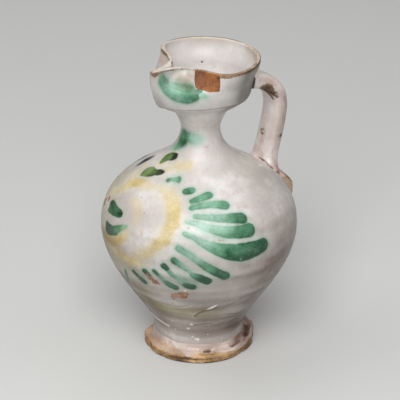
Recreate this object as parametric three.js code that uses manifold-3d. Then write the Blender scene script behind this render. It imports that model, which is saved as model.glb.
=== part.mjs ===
import * as THREE from 'three';
import { mergeVertices } from 'three/addons/utils/BufferGeometryUtils.js';
import Module from 'manifold-3d';

// A glazed pottery jug: a thrown globe on a luted foot, a funnel neck, a collar mouth pinched
// into a closed beak, and a strap handle whose lower end is thumbed out over the shoulder.
// Millimetres, +Z up. The origin is the centre of the foot's underside. The handle lies towards
// -X, and the beak points towards +X, turned a little by beakTurn.

// Heights of the thrown stages, stacked from the table upwards
const footThickness = 6.5;
const skirtHeight = 15.5;
const flankHeight = 103;
const shoulderHeight = 71;
const throatHeight = 28;
const flareHeight = 33.5;
const collarHeight = 32.5;

// Outer radii of the same stages
const footRadius = 52.8;
const skirtRadius = 42.9;
const bellyRadius = 92;
const neckRadius = 18;
const ridgeRadius = 44.4;
const rimRadius = 52.2;

// Walls
const floorThickness = 8;
const bodyWall = 6;
const neckWall = 5;
const collarWall = 4;
const footBevel = 1.5;

// Fullness of the thrown curves, as the reach of each curve's handles
const flankRun = 5.6;
const flankRise = 24.3;
const flankFullness = 38.5;
const shoulderFullness = 60;
const neckHollow = 46;
const flareSwell = 6.2;
const flareRise = 19.4;
const ridgeRun = 14.5;
const ridgeRise = 11.7;
const collarRun = 2.6;
const collarRise = 17.6;
const lipRun = 6.7;
const lipRise = 15.5;

// The mouth stands a little off the foot's axis, as hand-thrown necks do, and its ridge runs
// downhill towards one side
const mouthLeanX = -3.4;
const mouthLeanY = 2;
const leanPower = 1.8;
const ridgeFall = 3.3;
const ridgeFallTurn = -34.5;

// The pinched mouth: two finger presses meet at the throat and run out to a closed beak
const beakTurn = 4.5;
const beakReach = 60;
const beakWidth = 9;
const throatReach = 37;
const pressDepth = 20.2;
const pressHeight = 22;
const keelRun = 12;
const keelRise = 0.5;
const keelSwell = 2.5;
const keelDrop = 22;
// How deep each press goes at an angle from the beak, as a share of pressDepth
const pressShape = [[19, 0.95], [33, 1], [48, 0.93], [61, 0.66], [72, 0.32], [81, 0.08]];

// The pulled handle
const handleWidth = 25;
const handleTopThickness = 14.4;
const handleFootThickness = 16;
const handleReach = 84.9;
const handleRootDrop = 1.5;
const handleReachDrop = 33.5;
const handleFootClimb = 39;
const archRun = 24;
const archRise = 19;
const archDip = 1;
const shankRise = 15;
const shankRun = 5.5;
const shankClimb = 25;
const rootFlare = 4;
const rootFlareLength = 9;
const footFlare = 16;
const footFlareLength = 17;
const sectionSquareness = 3.6;

// The thumbed-out tail below the handle
const tailHalfWidth = 29;
const tailHalfHeight = 13.5;
const tailProud = 4.8;
const tailClimb = 26;
const tailShift = 3;
const tailDroop = 8;

// Clay pieces that meet on a curved or tilted face are drawn this far apart
const joinGap = 0.3;

// Facets
const roundSegments = 48;
const curveSteps = 9;
const collarSegments = 64;
const tailSegments = 24;
const handleSteps = 26;
const sectionPoints = 20;

const skirtTop = footThickness + skirtHeight;
const bellyZ = skirtTop + flankHeight;
const neckJoinZ = bellyZ + shoulderHeight;
const waistZ = neckJoinZ + throatHeight;
const ridgeZ = waistZ + flareHeight;
const rimZ = ridgeZ + collarHeight;

const point = (r, z) => new THREE.Vector2(r, z);
const bezier = (a, b, c, d, steps) => new THREE.CubicBezierCurve(a, b, c, d).getPoints(steps);
const clamp = THREE.MathUtils.clamp;
const toRadians = THREE.MathUtils.degToRad;

// Outer outlines, each a list of (radius, height)
const flankOutline = bezier(
  point(skirtRadius, skirtTop),
  point(skirtRadius + flankRun, skirtTop + flankRise),
  point(bellyRadius, bellyZ - flankFullness),
  point(bellyRadius, bellyZ),
  curveSteps,
);
const shoulderOutline = bezier(
  point(bellyRadius, bellyZ),
  point(bellyRadius, bellyZ + shoulderFullness),
  point(neckRadius, waistZ - neckHollow),
  point(neckRadius, waistZ),
  2 * curveSteps,
);
const flareOutline = bezier(
  point(neckRadius, waistZ),
  point(neckRadius + flareSwell, waistZ + flareRise),
  point(ridgeRadius - ridgeRun, ridgeZ - ridgeRise),
  point(ridgeRadius, ridgeZ),
  curveSteps,
);
const collarOutline = bezier(
  point(ridgeRadius, ridgeZ),
  point(ridgeRadius + collarRun, ridgeZ + collarRise),
  point(rimRadius - lipRun, rimZ - lipRise),
  point(rimRadius, rimZ),
  curveSteps,
);
const keelOutline = bezier(
  point(ridgeRadius, ridgeZ),
  point(ridgeRadius + keelRun, ridgeZ + keelRise),
  point(beakReach - keelSwell, rimZ - keelDrop),
  point(beakReach, rimZ),
  2 * curveSteps,
);

function radiusAt(outline, z) {
  const upper = outline.findIndex((p) => p.y >= z);
  if (upper < 0) return outline[outline.length - 1].x;
  if (upper === 0) return outline[0].x;
  const a = outline[upper - 1];
  const b = outline[upper];
  return THREE.MathUtils.mapLinear(z, a.y, b.y, a.x, b.x);
}

// The part of an outline between two heights, with its ends exactly on them
function between(outline, low, high) {
  const inside = outline.filter((p) => p.y > low + 0.5 && p.y < high - 0.5);
  return [point(radiusAt(outline, low), low), ...inside, point(radiusAt(outline, high), high)];
}

// An outline moved towards the axis by a wall, square to its own run, or outwards if it is negative
function inset(outline, wall) {
  return outline.map((p, i) => {
    const before = outline[Math.max(i - 1, 0)];
    const after = outline[Math.min(i + 1, outline.length - 1)];
    const run = after.clone().sub(before).normalize();
    return point(p.x - run.y * wall, p.y + run.x * wall);
  });
}

// The inside of a pot needs fewer steps than the outside
const everySecond = (outline) => outline.filter((p, i) => i % 2 === 0);

// A mesh's vertices merged and its flat triangles dropped, with its faces pointing out
function closedSolid(geometry) {
  const bare = new THREE.BufferGeometry();
  bare.setAttribute('position', geometry.getAttribute('position'));
  bare.setIndex(geometry.getIndex());
  const merged = mergeVertices(bare, 1e-4);
  const index = merged.getIndex().array;
  const position = merged.getAttribute('position');
  const corners = [new THREE.Vector3(), new THREE.Vector3(), new THREE.Vector3()];
  const kept = [];
  let volume = 0;
  for (let i = 0; i < index.length; i += 3) {
    const [a, b, c] = index.slice(i, i + 3);
    if (a === b || b === c || c === a) continue;
    corners.forEach((corner, k) => corner.fromBufferAttribute(position, index[i + k]));
    volume += corners[0].dot(corners[1].clone().cross(corners[2]));
    kept.push([a, b, c]);
  }
  merged.setIndex(kept.flatMap(([a, b, c]) => (volume > 0 ? [a, b, c] : [a, c, b])));
  merged.computeVertexNormals();
  return merged;
}

function turned(profile) {
  const lathe = new THREE.LatheGeometry(profile, roundSegments);
  lathe.rotateX(Math.PI / 2);
  return closedSolid(lathe);
}

// A ring's own plane, as two axes that its points are flattened onto
function flattened(ring) {
  const centre = ring.reduce((sum, p) => sum.add(p), new THREE.Vector3()).divideScalar(ring.length);
  const normal = new THREE.Vector3();
  ring.forEach((p, i) => {
    const next = ring[(i + 1) % ring.length];
    normal.add(p.clone().sub(centre).cross(next.clone().sub(centre)));
  });
  const u = ring[0].clone().sub(centre).normalize();
  const v = normal.normalize().cross(u);
  return ring.map((p) => new THREE.Vector2(p.clone().sub(centre).dot(u), p.clone().sub(centre).dot(v)));
}

// A solid through rings of points that all have the same count, capped at both ends
function lofted(rings) {
  const count = rings[0].length;
  const index = [];
  for (let r = 0; r < rings.length - 1; r += 1) {
    for (let i = 0; i < count; i += 1) {
      const next = (i + 1) % count;
      const [a, b] = [r * count + i, r * count + next];
      index.push(a, b, b + count, a, b + count, a + count);
    }
  }
  const last = (rings.length - 1) * count;
  for (const [a, b, c] of THREE.ShapeUtils.triangulateShape(flattened(rings[0]), [])) {
    index.push(a, c, b);
  }
  for (const [a, b, c] of THREE.ShapeUtils.triangulateShape(flattened(rings[rings.length - 1]), [])) {
    index.push(last + a, last + b, last + c);
  }
  const geometry = new THREE.BufferGeometry().setFromPoints(rings.flat());
  geometry.setIndex(index);
  return closedSolid(geometry);
}

// Everything above the belly drifts sideways as it climbs, and the ridge between funnel and
// collar is tilted, which dies away towards the neck's waist and the rim
function lean(geometry) {
  const position = geometry.getAttribute('position');
  const fallX = Math.cos(toRadians(ridgeFallTurn)) * (ridgeFall / (2 * ridgeRadius));
  const fallY = Math.sin(toRadians(ridgeFallTurn)) * (ridgeFall / (2 * ridgeRadius));
  for (let i = 0; i < position.count; i += 1) {
    const [x, y, z] = [position.getX(i), position.getY(i), position.getZ(i)];
    const drift = clamp((z - bellyZ) / (rimZ - bellyZ), 0, 1) ** leanPower;
    const rise = z < ridgeZ ? (z - waistZ) / flareHeight : (rimZ - z) / collarHeight;
    const tilt = clamp(rise, 0, 1);
    position.setXYZ(i, x + mouthLeanX * drift, y + mouthLeanY * drift, z - tilt * (x * fallX + y * fallY));
  }
  return geometry;
}

const wasm = await Module();
wasm.setup();

function toManifold(geometry) {
  return new wasm.Manifold(new wasm.Mesh({
    numProp: 3,
    vertProperties: new Float32Array(geometry.getAttribute('position').array),
    triVerts: new Uint32Array(geometry.getIndex().array),
  }));
}

function cutAway(geometry, cutters) {
  const left = cutters.reduce((solid, cutter) => solid.subtract(toManifold(cutter)), toManifold(geometry));
  const mesh = left.getMesh();
  const result = new THREE.BufferGeometry();
  result.setAttribute('position', new THREE.BufferAttribute(new Float32Array(mesh.vertProperties), 3));
  result.setIndex([...mesh.triVerts]);
  return closedSolid(result);
}

function footDisc() {
  return turned([
    point(0, 0),
    point(footRadius - footBevel, 0),
    point(footRadius, footBevel),
    point(footRadius, footThickness - footBevel),
    point(footRadius - footBevel, footThickness),
    point(0, footThickness),
  ]);
}

const globeOutline = [...flankOutline, ...between(shoulderOutline, bellyZ, neckJoinZ).slice(1)];

function bodyGlobe() {
  const floorZ = footThickness + floorThickness;
  const inner = everySecond(inset(globeOutline, bodyWall))
    .filter((p) => p.y < neckJoinZ - 1 && p.y > floorZ + 1);
  const mouth = point(radiusAt(shoulderOutline, neckJoinZ) - neckWall, neckJoinZ);
  return lean(turned([
    point(0, footThickness),
    point(skirtRadius, footThickness),
    ...globeOutline,
    mouth,
    ...inner.reverse(),
    point(skirtRadius - bodyWall, floorZ),
    point(0, floorZ),
  ]));
}

const funnelOutline = [
  ...between(shoulderOutline, neckJoinZ, waistZ),
  ...flareOutline.slice(1),
];

function neckFunnel() {
  const bottom = point(funnelOutline[0].x - neckWall, neckJoinZ);
  const top = point(ridgeRadius - collarWall, ridgeZ);
  const inner = everySecond(inset(funnelOutline, neckWall))
    .filter((p) => p.y > neckJoinZ + 1 && p.y < ridgeZ - 1);
  return lean(turned([...funnelOutline, top, ...inner.reverse(), bottom, funnelOutline[0]]));
}

// Half of the rim's outline seen from above, from the beak round to the back
function rimHalf(offset, start) {
  const middleRadius = rimRadius - collarWall / 2;
  const press = pressShape.map(([degrees, share]) => {
    const angle = toRadians(degrees);
    const radius = middleRadius - pressDepth * share;
    return new THREE.Vector3(radius * Math.cos(angle), radius * Math.sin(angle), 0);
  });
  const middle = [new THREE.Vector3(throatReach, 0, 0), ...press];
  const moved = middle.map((p, i) => {
    const run = middle[Math.min(i + 1, middle.length - 1)].clone().sub(middle[Math.max(i - 1, 0)]);
    run.normalize();
    return new THREE.Vector3(p.x + run.y * offset, p.y - run.x * offset, 0);
  });
  const arc = [100, 120, 140, 160, 180].map((degrees) => {
    const angle = toRadians(degrees);
    const radius = middleRadius + offset;
    return new THREE.Vector3(radius * Math.cos(angle), radius * Math.sin(angle), 0);
  });
  return new THREE.CatmullRomCurve3([...start, ...moved.slice(1), ...arc], false, 'centripetal');
}

// Half of a section lower down: a round wall drawn out to a keel under the beak
function roundHalf(radius, keel) {
  const tangent = Math.acos(Math.min(radius / keel, 1));
  const path = new THREE.Path();
  path.moveTo(keel, 0);
  path.lineTo(radius * Math.cos(tangent), radius * Math.sin(tangent));
  path.absarc(0, 0, radius, tangent, Math.PI, false);
  return path;
}

function collarRing(rim, radius, keel, z) {
  const lower = roundHalf(radius, keel);
  const press = THREE.MathUtils.smoothstep(z, rimZ - pressHeight, rimZ);
  const half = [];
  for (let i = 0; i <= collarSegments / 2; i += 1) {
    const share = (i / (collarSegments / 2)) ** 1.25;
    const a = lower.getPointAt(share);
    const b = rim.getPointAt(share);
    const x = THREE.MathUtils.lerp(a.x, b.x, press);
    half.push(new THREE.Vector3(x, i % (collarSegments / 2) ? THREE.MathUtils.lerp(a.y, b.y, press) : 0, z));
  }
  const mirrored = half.slice(1, -1).reverse().map((p) => new THREE.Vector3(p.x, -p.y, p.z));
  return [...half, ...mirrored];
}

function mouthCollar() {
  const heights = [0, 0.05, 0.12, 0.22, 0.33, 0.44, 0.55, 0.66, 0.78, 0.89, 1]
    .map((share) => THREE.MathUtils.lerp(ridgeZ + joinGap, rimZ, share));
  const outerRim = rimHalf(collarWall / 2, [
    new THREE.Vector3(beakReach, 0, 0),
    new THREE.Vector3(beakReach - 0.12 * beakWidth, 0.33 * beakWidth, 0),
    new THREE.Vector3(beakReach - beakWidth / 2, beakWidth / 2, 0),
    new THREE.Vector3(throatReach + 1.7 * collarWall, 0.54 * beakWidth, 0),
  ]);
  const innerRim = rimHalf(-collarWall / 2, [new THREE.Vector3(throatReach - collarWall / 2, 0, 0)]);
  const outer = heights.map((z) => collarRing(outerRim, radiusAt(collarOutline, z), radiusAt(keelOutline, z), z));
  const hollow = [ridgeZ - 1, ...heights.slice(1, -1), rimZ, rimZ + 1].map((z) => {
    const level = clamp(z, ridgeZ, rimZ);
    const radius = radiusAt(collarOutline, level) - collarWall;
    const keel = Math.max(radiusAt(keelOutline, level) - beakWidth, radius + 0.01);
    return collarRing(innerRim, radius, keel, level).map((p) => new THREE.Vector3(p.x, p.y, z));
  });
  const collar = cutAway(lofted(outer), [lofted(hollow)]);
  collar.rotateZ(toRadians(beakTurn));
  return lean(collar);
}

// The handle's centre line, from inside the collar's wall, over the arch, down to the shoulder
function handlePath() {
  const rootZ = ridgeZ - handleRootDrop;
  const reachZ = ridgeZ - handleReachDrop;
  const landingZ = bellyZ + handleFootClimb;
  const rootX = -(radiusAt(collarOutline, rootZ) - collarWall);
  const landingX = -(radiusAt(shoulderOutline, landingZ) - bodyWall / 2);
  const v = (x, z) => new THREE.Vector3(x, 0, z);
  const path = new THREE.CurvePath();
  path.add(new THREE.CubicBezierCurve3(
    v(rootX, rootZ),
    v(rootX - archRun, rootZ - archDip),
    v(-handleReach, reachZ + archRise),
    v(-handleReach, reachZ),
  ));
  path.add(new THREE.CubicBezierCurve3(
    v(-handleReach, reachZ),
    v(-handleReach, reachZ - shankRise),
    v(landingX - shankRun, landingZ + shankClimb),
    v(landingX, landingZ),
  ));
  return path;
}

function superellipse(angle, halfWidth, halfThickness) {
  const power = 2 / sectionSquareness;
  const squared = (value) => Math.sign(value) * Math.abs(value) ** power;
  return [halfWidth * squared(Math.cos(angle)), halfThickness * squared(Math.sin(angle))];
}

function handleStrap(cutters) {
  const path = handlePath();
  const length = path.getLength();
  const rings = [];
  for (let i = 0; i <= handleSteps; i += 1) {
    const share = i / handleSteps;
    const centre = path.getPointAt(share);
    const run = path.getTangentAt(share);
    const outward = new THREE.Vector3(run.z, 0, -run.x);
    const fromRoot = Math.max(0, 1 - (share * length) / rootFlareLength) ** 2;
    const fromFoot = Math.max(0, 1 - ((1 - share) * length) / footFlareLength) ** 2;
    const width = handleWidth + rootFlare * fromRoot + footFlare * fromFoot;
    const thickness = THREE.MathUtils.lerp(handleTopThickness, handleFootThickness, share) + rootFlare * fromRoot;
    const ring = [];
    for (let k = 0; k < sectionPoints; k += 1) {
      const [across, out] = superellipse((2 * Math.PI * k) / sectionPoints, width / 2, thickness / 2);
      ring.push(centre.clone().addScaledVector(outward, out).add(new THREE.Vector3(0, across, 0)));
    }
    rings.push(ring);
  }
  return cutAway(lean(lofted(rings)), cutters);
}

// A flat lobe of clay on the shoulder with drooping ends, before the globe is cut out of it
function tailLobe(extra) {
  const tailZ = bellyZ + tailClimb;
  const radius = radiusAt(shoulderOutline, tailZ);
  const slope = Math.atan2(radiusAt(shoulderOutline, tailZ - 4) - radiusAt(shoulderOutline, tailZ + 4), 8);
  const lobe = new THREE.SphereGeometry(1, tailSegments, tailSegments / 2);
  lobe.scale(tailProud + bodyWall / 2 + extra, tailHalfWidth + extra, tailHalfHeight + extra);
  lobe.rotateY(-slope);
  lobe.translate(-(radius - bodyWall / 2), 0, tailZ);
  const position = lobe.getAttribute('position');
  for (let i = 0; i < position.count; i += 1) {
    const aside = position.getY(i) / tailHalfWidth;
    position.setZ(i, position.getZ(i) - tailDroop * aside * aside);
  }
  lobe.translate(0, tailShift, 0);
  return closedSolid(lobe);
}

// Solids of the outer shapes, a join's gap larger, to cut what is luted onto them
function grownGlobe() {
  const grown = inset(globeOutline, -joinGap);
  return lean(turned([point(0, footThickness), ...grown, point(0, grown[grown.length - 1].y)]));
}

function grownMouth() {
  const grown = inset([...funnelOutline, ...collarOutline.slice(1)], -joinGap);
  return lean(turned([point(0, neckJoinZ), ...grown, point(0, grown[grown.length - 1].y)]));
}

const glaze = { color: 0xd8cdc6, roughness: 0.28, metalness: 0 };
const bareClay = { color: 0xa98463, roughness: 0.85, metalness: 0 };

function piece(name, geometry, look) {
  const mesh = new THREE.Mesh(geometry, new THREE.MeshStandardMaterial(look));
  mesh.name = name;
  return mesh;
}

const globeCutter = grownGlobe();

const jug = new THREE.Group();
jug.add(piece('foot_disc', footDisc(), bareClay));
jug.add(piece('body_globe', bodyGlobe(), glaze));
jug.add(piece('neck_funnel', neckFunnel(), glaze));
jug.add(piece('mouth_collar', mouthCollar(), glaze));
jug.add(piece('handle_tail', cutAway(tailLobe(0), [globeCutter]), bareClay));
jug.add(piece('handle_strap', handleStrap([grownMouth(), globeCutter, tailLobe(joinGap)]), glaze));

export default jug;
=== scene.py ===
import bpy
import bmesh
import math
import numpy as np
from mathutils import Matrix, Vector


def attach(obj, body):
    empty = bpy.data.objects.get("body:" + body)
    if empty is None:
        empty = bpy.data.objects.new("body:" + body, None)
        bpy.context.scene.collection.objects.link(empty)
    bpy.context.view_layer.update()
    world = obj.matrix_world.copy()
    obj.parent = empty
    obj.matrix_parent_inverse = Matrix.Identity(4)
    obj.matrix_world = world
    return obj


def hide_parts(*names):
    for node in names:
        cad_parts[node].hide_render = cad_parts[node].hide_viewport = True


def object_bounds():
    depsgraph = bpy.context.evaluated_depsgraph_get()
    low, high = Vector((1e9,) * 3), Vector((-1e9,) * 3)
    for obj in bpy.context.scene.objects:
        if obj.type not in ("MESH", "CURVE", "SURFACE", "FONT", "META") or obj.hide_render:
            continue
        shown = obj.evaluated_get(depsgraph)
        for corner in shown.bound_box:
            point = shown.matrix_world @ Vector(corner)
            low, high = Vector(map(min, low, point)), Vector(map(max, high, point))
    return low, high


# Hand-thrown tin-glazed jug. Lengths in the dictionaries are millimetres, angles degrees.
# The jug stands on the origin, handle towards -X, pinched beak towards +X.

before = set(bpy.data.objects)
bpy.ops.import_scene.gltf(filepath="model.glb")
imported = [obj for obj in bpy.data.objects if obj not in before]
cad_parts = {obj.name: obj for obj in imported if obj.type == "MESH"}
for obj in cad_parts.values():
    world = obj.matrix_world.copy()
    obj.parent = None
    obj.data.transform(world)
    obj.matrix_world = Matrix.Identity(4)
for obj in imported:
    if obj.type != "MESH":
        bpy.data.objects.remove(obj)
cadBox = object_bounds()


def show(name, data):
    item = bpy.data.objects.new(name, data)
    bpy.context.scene.collection.objects.link(item)
    return item


def compass(azimuth, elevation=0.0):
    # the way that an azimuth and an elevation point
    a, e = math.radians(azimuth), math.radians(elevation)
    return np.array([math.cos(e) * math.cos(a), math.cos(e) * math.sin(a), math.sin(e)])


cameraView = {
    "azimuth": 55.5,       # where the photographer stands, round from +X
    "elevation": 26,
    "distance": 1900,
    "aimHeight": 146.2,
    "aimAside": 1.0,
    "lens": 183,
    "sensor": 36,
    "clip": (0.05, 50),
}


def addCamera(view):
    back, right = compass(view["azimuth"], view["elevation"]), compass(view["azimuth"] + 90)
    camera = show("photoCamera", bpy.data.cameras.new("photoCamera"))
    camera.data.sensor_width, camera.data.lens = view["sensor"], view["lens"]
    camera.data.clip_start, camera.data.clip_end = view["clip"]
    aim = right * view["aimAside"] + [0, 0, view["aimHeight"]]
    camera.location = (aim + back * view["distance"]) / 1000
    camera.rotation_euler = Matrix(np.array([right, np.cross(back, right), back]).T.tolist()).to_euler()
    bpy.context.scene.camera = camera


addCamera(cameraView)
print("camera placed")


# Curves that the pot was thrown to, the same as in its solid, as radius and height

pot = {
    "footThickness": 6.5,
    "skirt": (42.9, 22),
    "belly": (92, 125),
    "neck": (18, 224),
    "ridge": (44.8, 256.4),
    "rim": (52.2, 290),
    "floorThickness": 8,
    "bodyWall": 6,
    "neckWall": 5,
    "collarWall": 4,
    "lean": (-3.4, 2),
    "leanPower": 1.8,
    "sag": 2.8,
    "ridgeFall": 4.4,
    "ridgeFallTurn": -34.5,
}
ridgeZ, rimZ = pot["ridge"][1], pot["rim"][1]


def bezier(a, b, c, d, count):
    t = np.linspace(0, 1, count)[:, None]
    a, b, c, d = (np.array(p, float) for p in (a, b, c, d))
    return a * (1 - t) ** 3 + 3 * b * t * (1 - t) ** 2 + 3 * c * t * t * (1 - t) + d * t ** 3


flankCurve = bezier(pot["skirt"], (48.5, 46.3), (92, 86.5), pot["belly"], 400)
shoulderCurve = bezier(pot["belly"], (92, 185), (18, 178), pot["neck"], 400)
flareCurve = bezier(pot["neck"], (24.2, 243.4), (29.9, 245.8), pot["ridge"], 200)
collarCurve = bezier(pot["ridge"], (47, 275.1), (45.5, 274.5), pot["rim"], 200)
keelCurve = bezier(pot["ridge"], (50, 255.8), (60.2, 266), (60, 290), 200)
outerCurve = np.vstack([[(42.9, 6.5)], flankCurve, shoulderCurve[1:], flareCurve[1:]])


def radiusAt(curve, z):
    return np.interp(z, curve[:, 1], curve[:, 0])


def smoothStep(low, high, value):
    t = np.clip((value - low) / (high - low), 0, 1)
    return t * t * (3 - 2 * t)


def window(value, *ramps):
    # the product of ramps, each from where it is 0 to where it is 1
    share = 1.0
    for low, high in zip(ramps[::2], ramps[1::2]):
        share = share * smoothStep(low, high, value)
    return share


def azimuthOf(points):
    return np.degrees(np.arctan2(points[:, 1], points[:, 0]))


def turnFrom(azimuth, middle):
    return (azimuth - middle + 180) % 360 - 180


def polar(radius, degrees):
    return np.column_stack([radius * np.cos(np.radians(degrees)), radius * np.sin(np.radians(degrees))])


def bump(value, middle, reach):
    return np.exp(-((value - middle) / reach) ** 2)


def drift(z):
    share = np.clip((z - pot["belly"][1]) / (rimZ - pot["belly"][1]), 0, 1) ** pot["leanPower"]
    return pot["lean"][0] * share, pot["lean"][1] * share


def leaned(points):
    x, y, z = points.T.copy()
    dx, dy = drift(z)
    fall = pot["ridgeFall"] / (2 * pot["ridge"][0])
    turn = math.radians(pot["ridgeFallTurn"])
    neckZ = pot["neck"][1]
    rise = np.where(z < ridgeZ, (z - neckZ) / (ridgeZ - neckZ), (rimZ - z) / (rimZ - ridgeZ))
    down = np.clip(rise, 0, 1) * (x * math.cos(turn) + y * math.sin(turn)) * fall
    # the cup's underside sags a little below the beak and on the right
    beside = azimuthOf(points)
    low = bump(beside, -6, 42) + 0.9 * bump(beside, 120, 32)
    down += pot["sag"] * low * window(z, 238, 252, 272, 256)
    return np.column_stack([x + dx, y + dy, z - down])


def onBody(azimuth, z):
    # a point on the leaned body, seen from the foot's axis at an azimuth
    u = compass(azimuth)[:2]
    c = np.array(drift(z))
    along = c @ u
    t = along + math.sqrt(max(along * along - c @ c + radiusAt(outerCurve, z) ** 2, 0))
    return np.array([u[0] * t, u[1] * t, z])


def softNoise(points, size, seed, waves=14):
    # a smooth repeatable unevenness between about -1 and 1, features about size across
    rng = np.random.default_rng(seed)
    total = np.zeros(len(points))
    for _ in range(waves):
        way = rng.normal(size=3)
        way *= 2 * math.pi / (size * (1.4 + rng.random())) / np.linalg.norm(way)
        total += np.sin(points @ way + rng.random() * 6.283)
    return total / math.sqrt(waves / 2) * 0.7


def insideBox(points):
    low, high = (np.array(corner, float) * 1000 for corner in cadBox)
    return np.clip(points, low, high)


def runAlong(path):
    return np.concatenate([[0], np.cumsum(np.linalg.norm(np.diff(path, axis=0), axis=1))])


def placesAt(path, share):
    # points of a flat curve at shares of its length
    run = runAlong(path)
    return np.column_stack([np.interp(share * run[-1], run, path[:, k]) for k in range(2)])


# Brush strokes and worn places, as distances in mm from where they were put on

untouched = -40.0


def strokes(*rows, settle=0):
    # knots, widths along the stroke, how loaded the brush was, and how far paint settled downwards
    return [row + (None, None, [1], settle)[len(row):] for row in rows]


def shapes(*rows):
    # corners as azimuth and height, growth, and the two places between which the load runs
    return [row + (None, 0, (0, 90), (50, 90), [1])[len(row):] for row in rows]


def spline(a, b, c, d, t):
    bend, twist = 2 * a - 5 * b + 4 * c - d, 3 * b - a - 3 * c + d
    return 0.5 * (2 * b + (c - a) * t + bend * t * t + twist * t ** 3)


def smoothPath(points, spacing=0.8):
    points = np.array(points, float)
    if len(points) == 1:
        return points, np.zeros(1)
    ends = np.vstack([2 * points[0] - points[1], points, 2 * points[-1] - points[-2]])
    out = []
    for i in range(1, len(ends) - 2):
        count = max(int(np.linalg.norm(ends[i + 1] - ends[i]) / spacing), 2)
        out.append(spline(*ends[i - 1:i + 3], np.linspace(0, 1, count, endpoint=False)[:, None]))
    path = np.vstack(out + [points[-1:]])
    run = runAlong(path)
    return path, run / run[-1]


def runThrough(values, share):
    return np.interp(share, np.linspace(0, 1, len(values)), values)


def paintField(points, table):
    # reach: mm inside a stroke's edge, negative outside; load: how much paint lies there
    reach, load = np.full(len(points), untouched), np.zeros(len(points))
    for knots, widths, loads, settle in table:
        path, share = smoothPath([onBody(*p) if len(p) == 2 else p for p in knots])
        half, dark = runThrough(widths, share) / 2, runThrough(loads, share)
        low, high = path.min(axis=0) - 30, path.max(axis=0) + 30
        near = np.where(np.all((points > low) & (points < high), axis=1))[0]
        for part in np.array_split(near, max(len(near) // 8000, 1)):
            inside = half[None, :] - np.linalg.norm(points[part][:, None, :] - path[None, :, :], axis=2)
            best = inside.argmax(axis=1)
            value = inside[np.arange(len(part)), best]
            better = value > reach[part]
            reach[part] = np.where(better, value, reach[part])
            fall = np.clip((path[best, 2] - points[part][:, 2]) / np.maximum(half[best], 0.5), -1, 1)
            load[part] = np.where(better, dark[best] + settle * fall, load[part])
    return reach, load


def polygonField(u, v, corners):
    # signed distance to a closed outline on a flat map, positive inside
    corners = np.array(corners, float)
    gap, inside = np.full(len(u), 1e9), np.zeros(len(u), bool)
    for a, b in zip(corners, np.roll(corners, -1, axis=0)):
        run = b - a
        t = np.clip(((u - a[0]) * run[0] + (v - a[1]) * run[1]) / (run @ run), 0, 1)
        gap = np.minimum(gap, np.hypot(u - a[0] - run[0] * t, v - a[1] - run[1] * t))
        crossing = (a[1] > v) != (b[1] > v)
        where = a[0] + (v - a[1]) * run[0] / (run[1] if abs(run[1]) > 1e-9 else 1e-9)
        inside ^= crossing & (u < where)
    return np.where(inside, gap, -gap)


def roundedLoop(corners, count=5):
    a, b, c, d = (np.roll(corners, k, axis=0)[:, None, :] for k in (1, 0, -1, -2))
    return spline(a, b, c, d, np.linspace(0, 1, count, endpoint=False)[None, :, None]).reshape(-1, 2)


def shapeField(points, table, wallSlope=0.75, softRim=2.4):
    # the same for outlines on the body; wallSlope: how steeply the wall rises where they lie
    azimuth = azimuthOf(points)
    reach, load = np.full(len(points), untouched), np.zeros(len(points))
    for corners, grow, start, end, loads in table:
        corners = np.array(corners, float)
        middle, level = corners.mean(axis=0)
        radius = np.linalg.norm(onBody(middle, level)[:2])

        def flat(a, z):
            return np.radians(turnFrom(a, middle)) * radius, (z - level) / wallSlope

        u, v = flat(azimuth, points[:, 2])
        near = (np.abs(u) < 60) & (np.abs(v) < 60)
        value = polygonField(u[near], v[near], roundedLoop(np.column_stack(flat(*corners.T))))
        p0, p1 = np.array(flat(*start)), np.array(flat(*end))
        run = p1 - p0
        share = np.clip(((u[near] - p0[0]) * run[0] + (v[near] - p0[1]) * run[1]) / (run @ run), 0, 1)
        value = np.minimum(value, softRim) + grow
        better = value > reach[near]
        reach[near] = np.where(better, value, reach[near])
        load[near] = np.where(better, runThrough(loads, share), load[near])
    return reach, load


def laidOn(points, strokeTable, shapeTable=()):
    # strokes and outlines of one colour: what reaches furthest wins, with its own load
    reach, load = paintField(points, strokeTable)
    otherReach, otherLoad = shapeField(points, shapeTable)
    better = otherReach > reach
    return np.where(better, otherReach, reach), np.where(better, otherLoad, load)


# Node helpers, for shader trees and geometry trees alike. Colours are given as red, green, blue to 255.

def tint(*colour):
    parts = [value / 255 for value in colour]
    return tuple(v / 12.92 if v <= 0.04045 else ((v + 0.055) / 1.055) ** 2.4 for v in parts) + (1.0,)


class Wire:
    # an output in a node tree, so that Math nodes can be written as sums

    def __init__(self, tree, socket):
        self.tree, self.socket = tree, socket

    def of(self, label):
        return Wire(self.tree, self.socket.node.outputs[label])

    def reckon(self, operation, *others, clamp=False):
        return wired(self.tree, "ShaderNodeMath", dict(enumerate((self,) + others)), operation=operation,
                     use_clamp=clamp)

    def __add__(self, other):
        return self.reckon("ADD", other)

    def __sub__(self, other):
        return self.reckon("SUBTRACT", other)

    def __mul__(self, other):
        return self.reckon("MULTIPLY", other)

    def __truediv__(self, other):
        return self.reckon("DIVIDE", other)


def wired(tree, kind, inputs=None, output=0, **settings):
    node = tree.nodes.new(kind)
    for name, value in settings.items():
        setattr(node, name, value)
    for key, value in (inputs or {}).items():
        if isinstance(value, Wire):
            tree.links.new(value.socket, node.inputs[key])
        else:
            node.inputs[key].default_value = tint(*value) if isinstance(value, tuple) else value
    return Wire(tree, node.outputs[output])


def spread(value, low, high, smooth=True):
    inputs = {"Value": value, "From Min": low, "From Max": high}
    return wired(value.tree, "ShaderNodeMapRange", inputs, "Result",
                 interpolation_type="SMOOTHSTEP" if smooth else "LINEAR")


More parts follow.
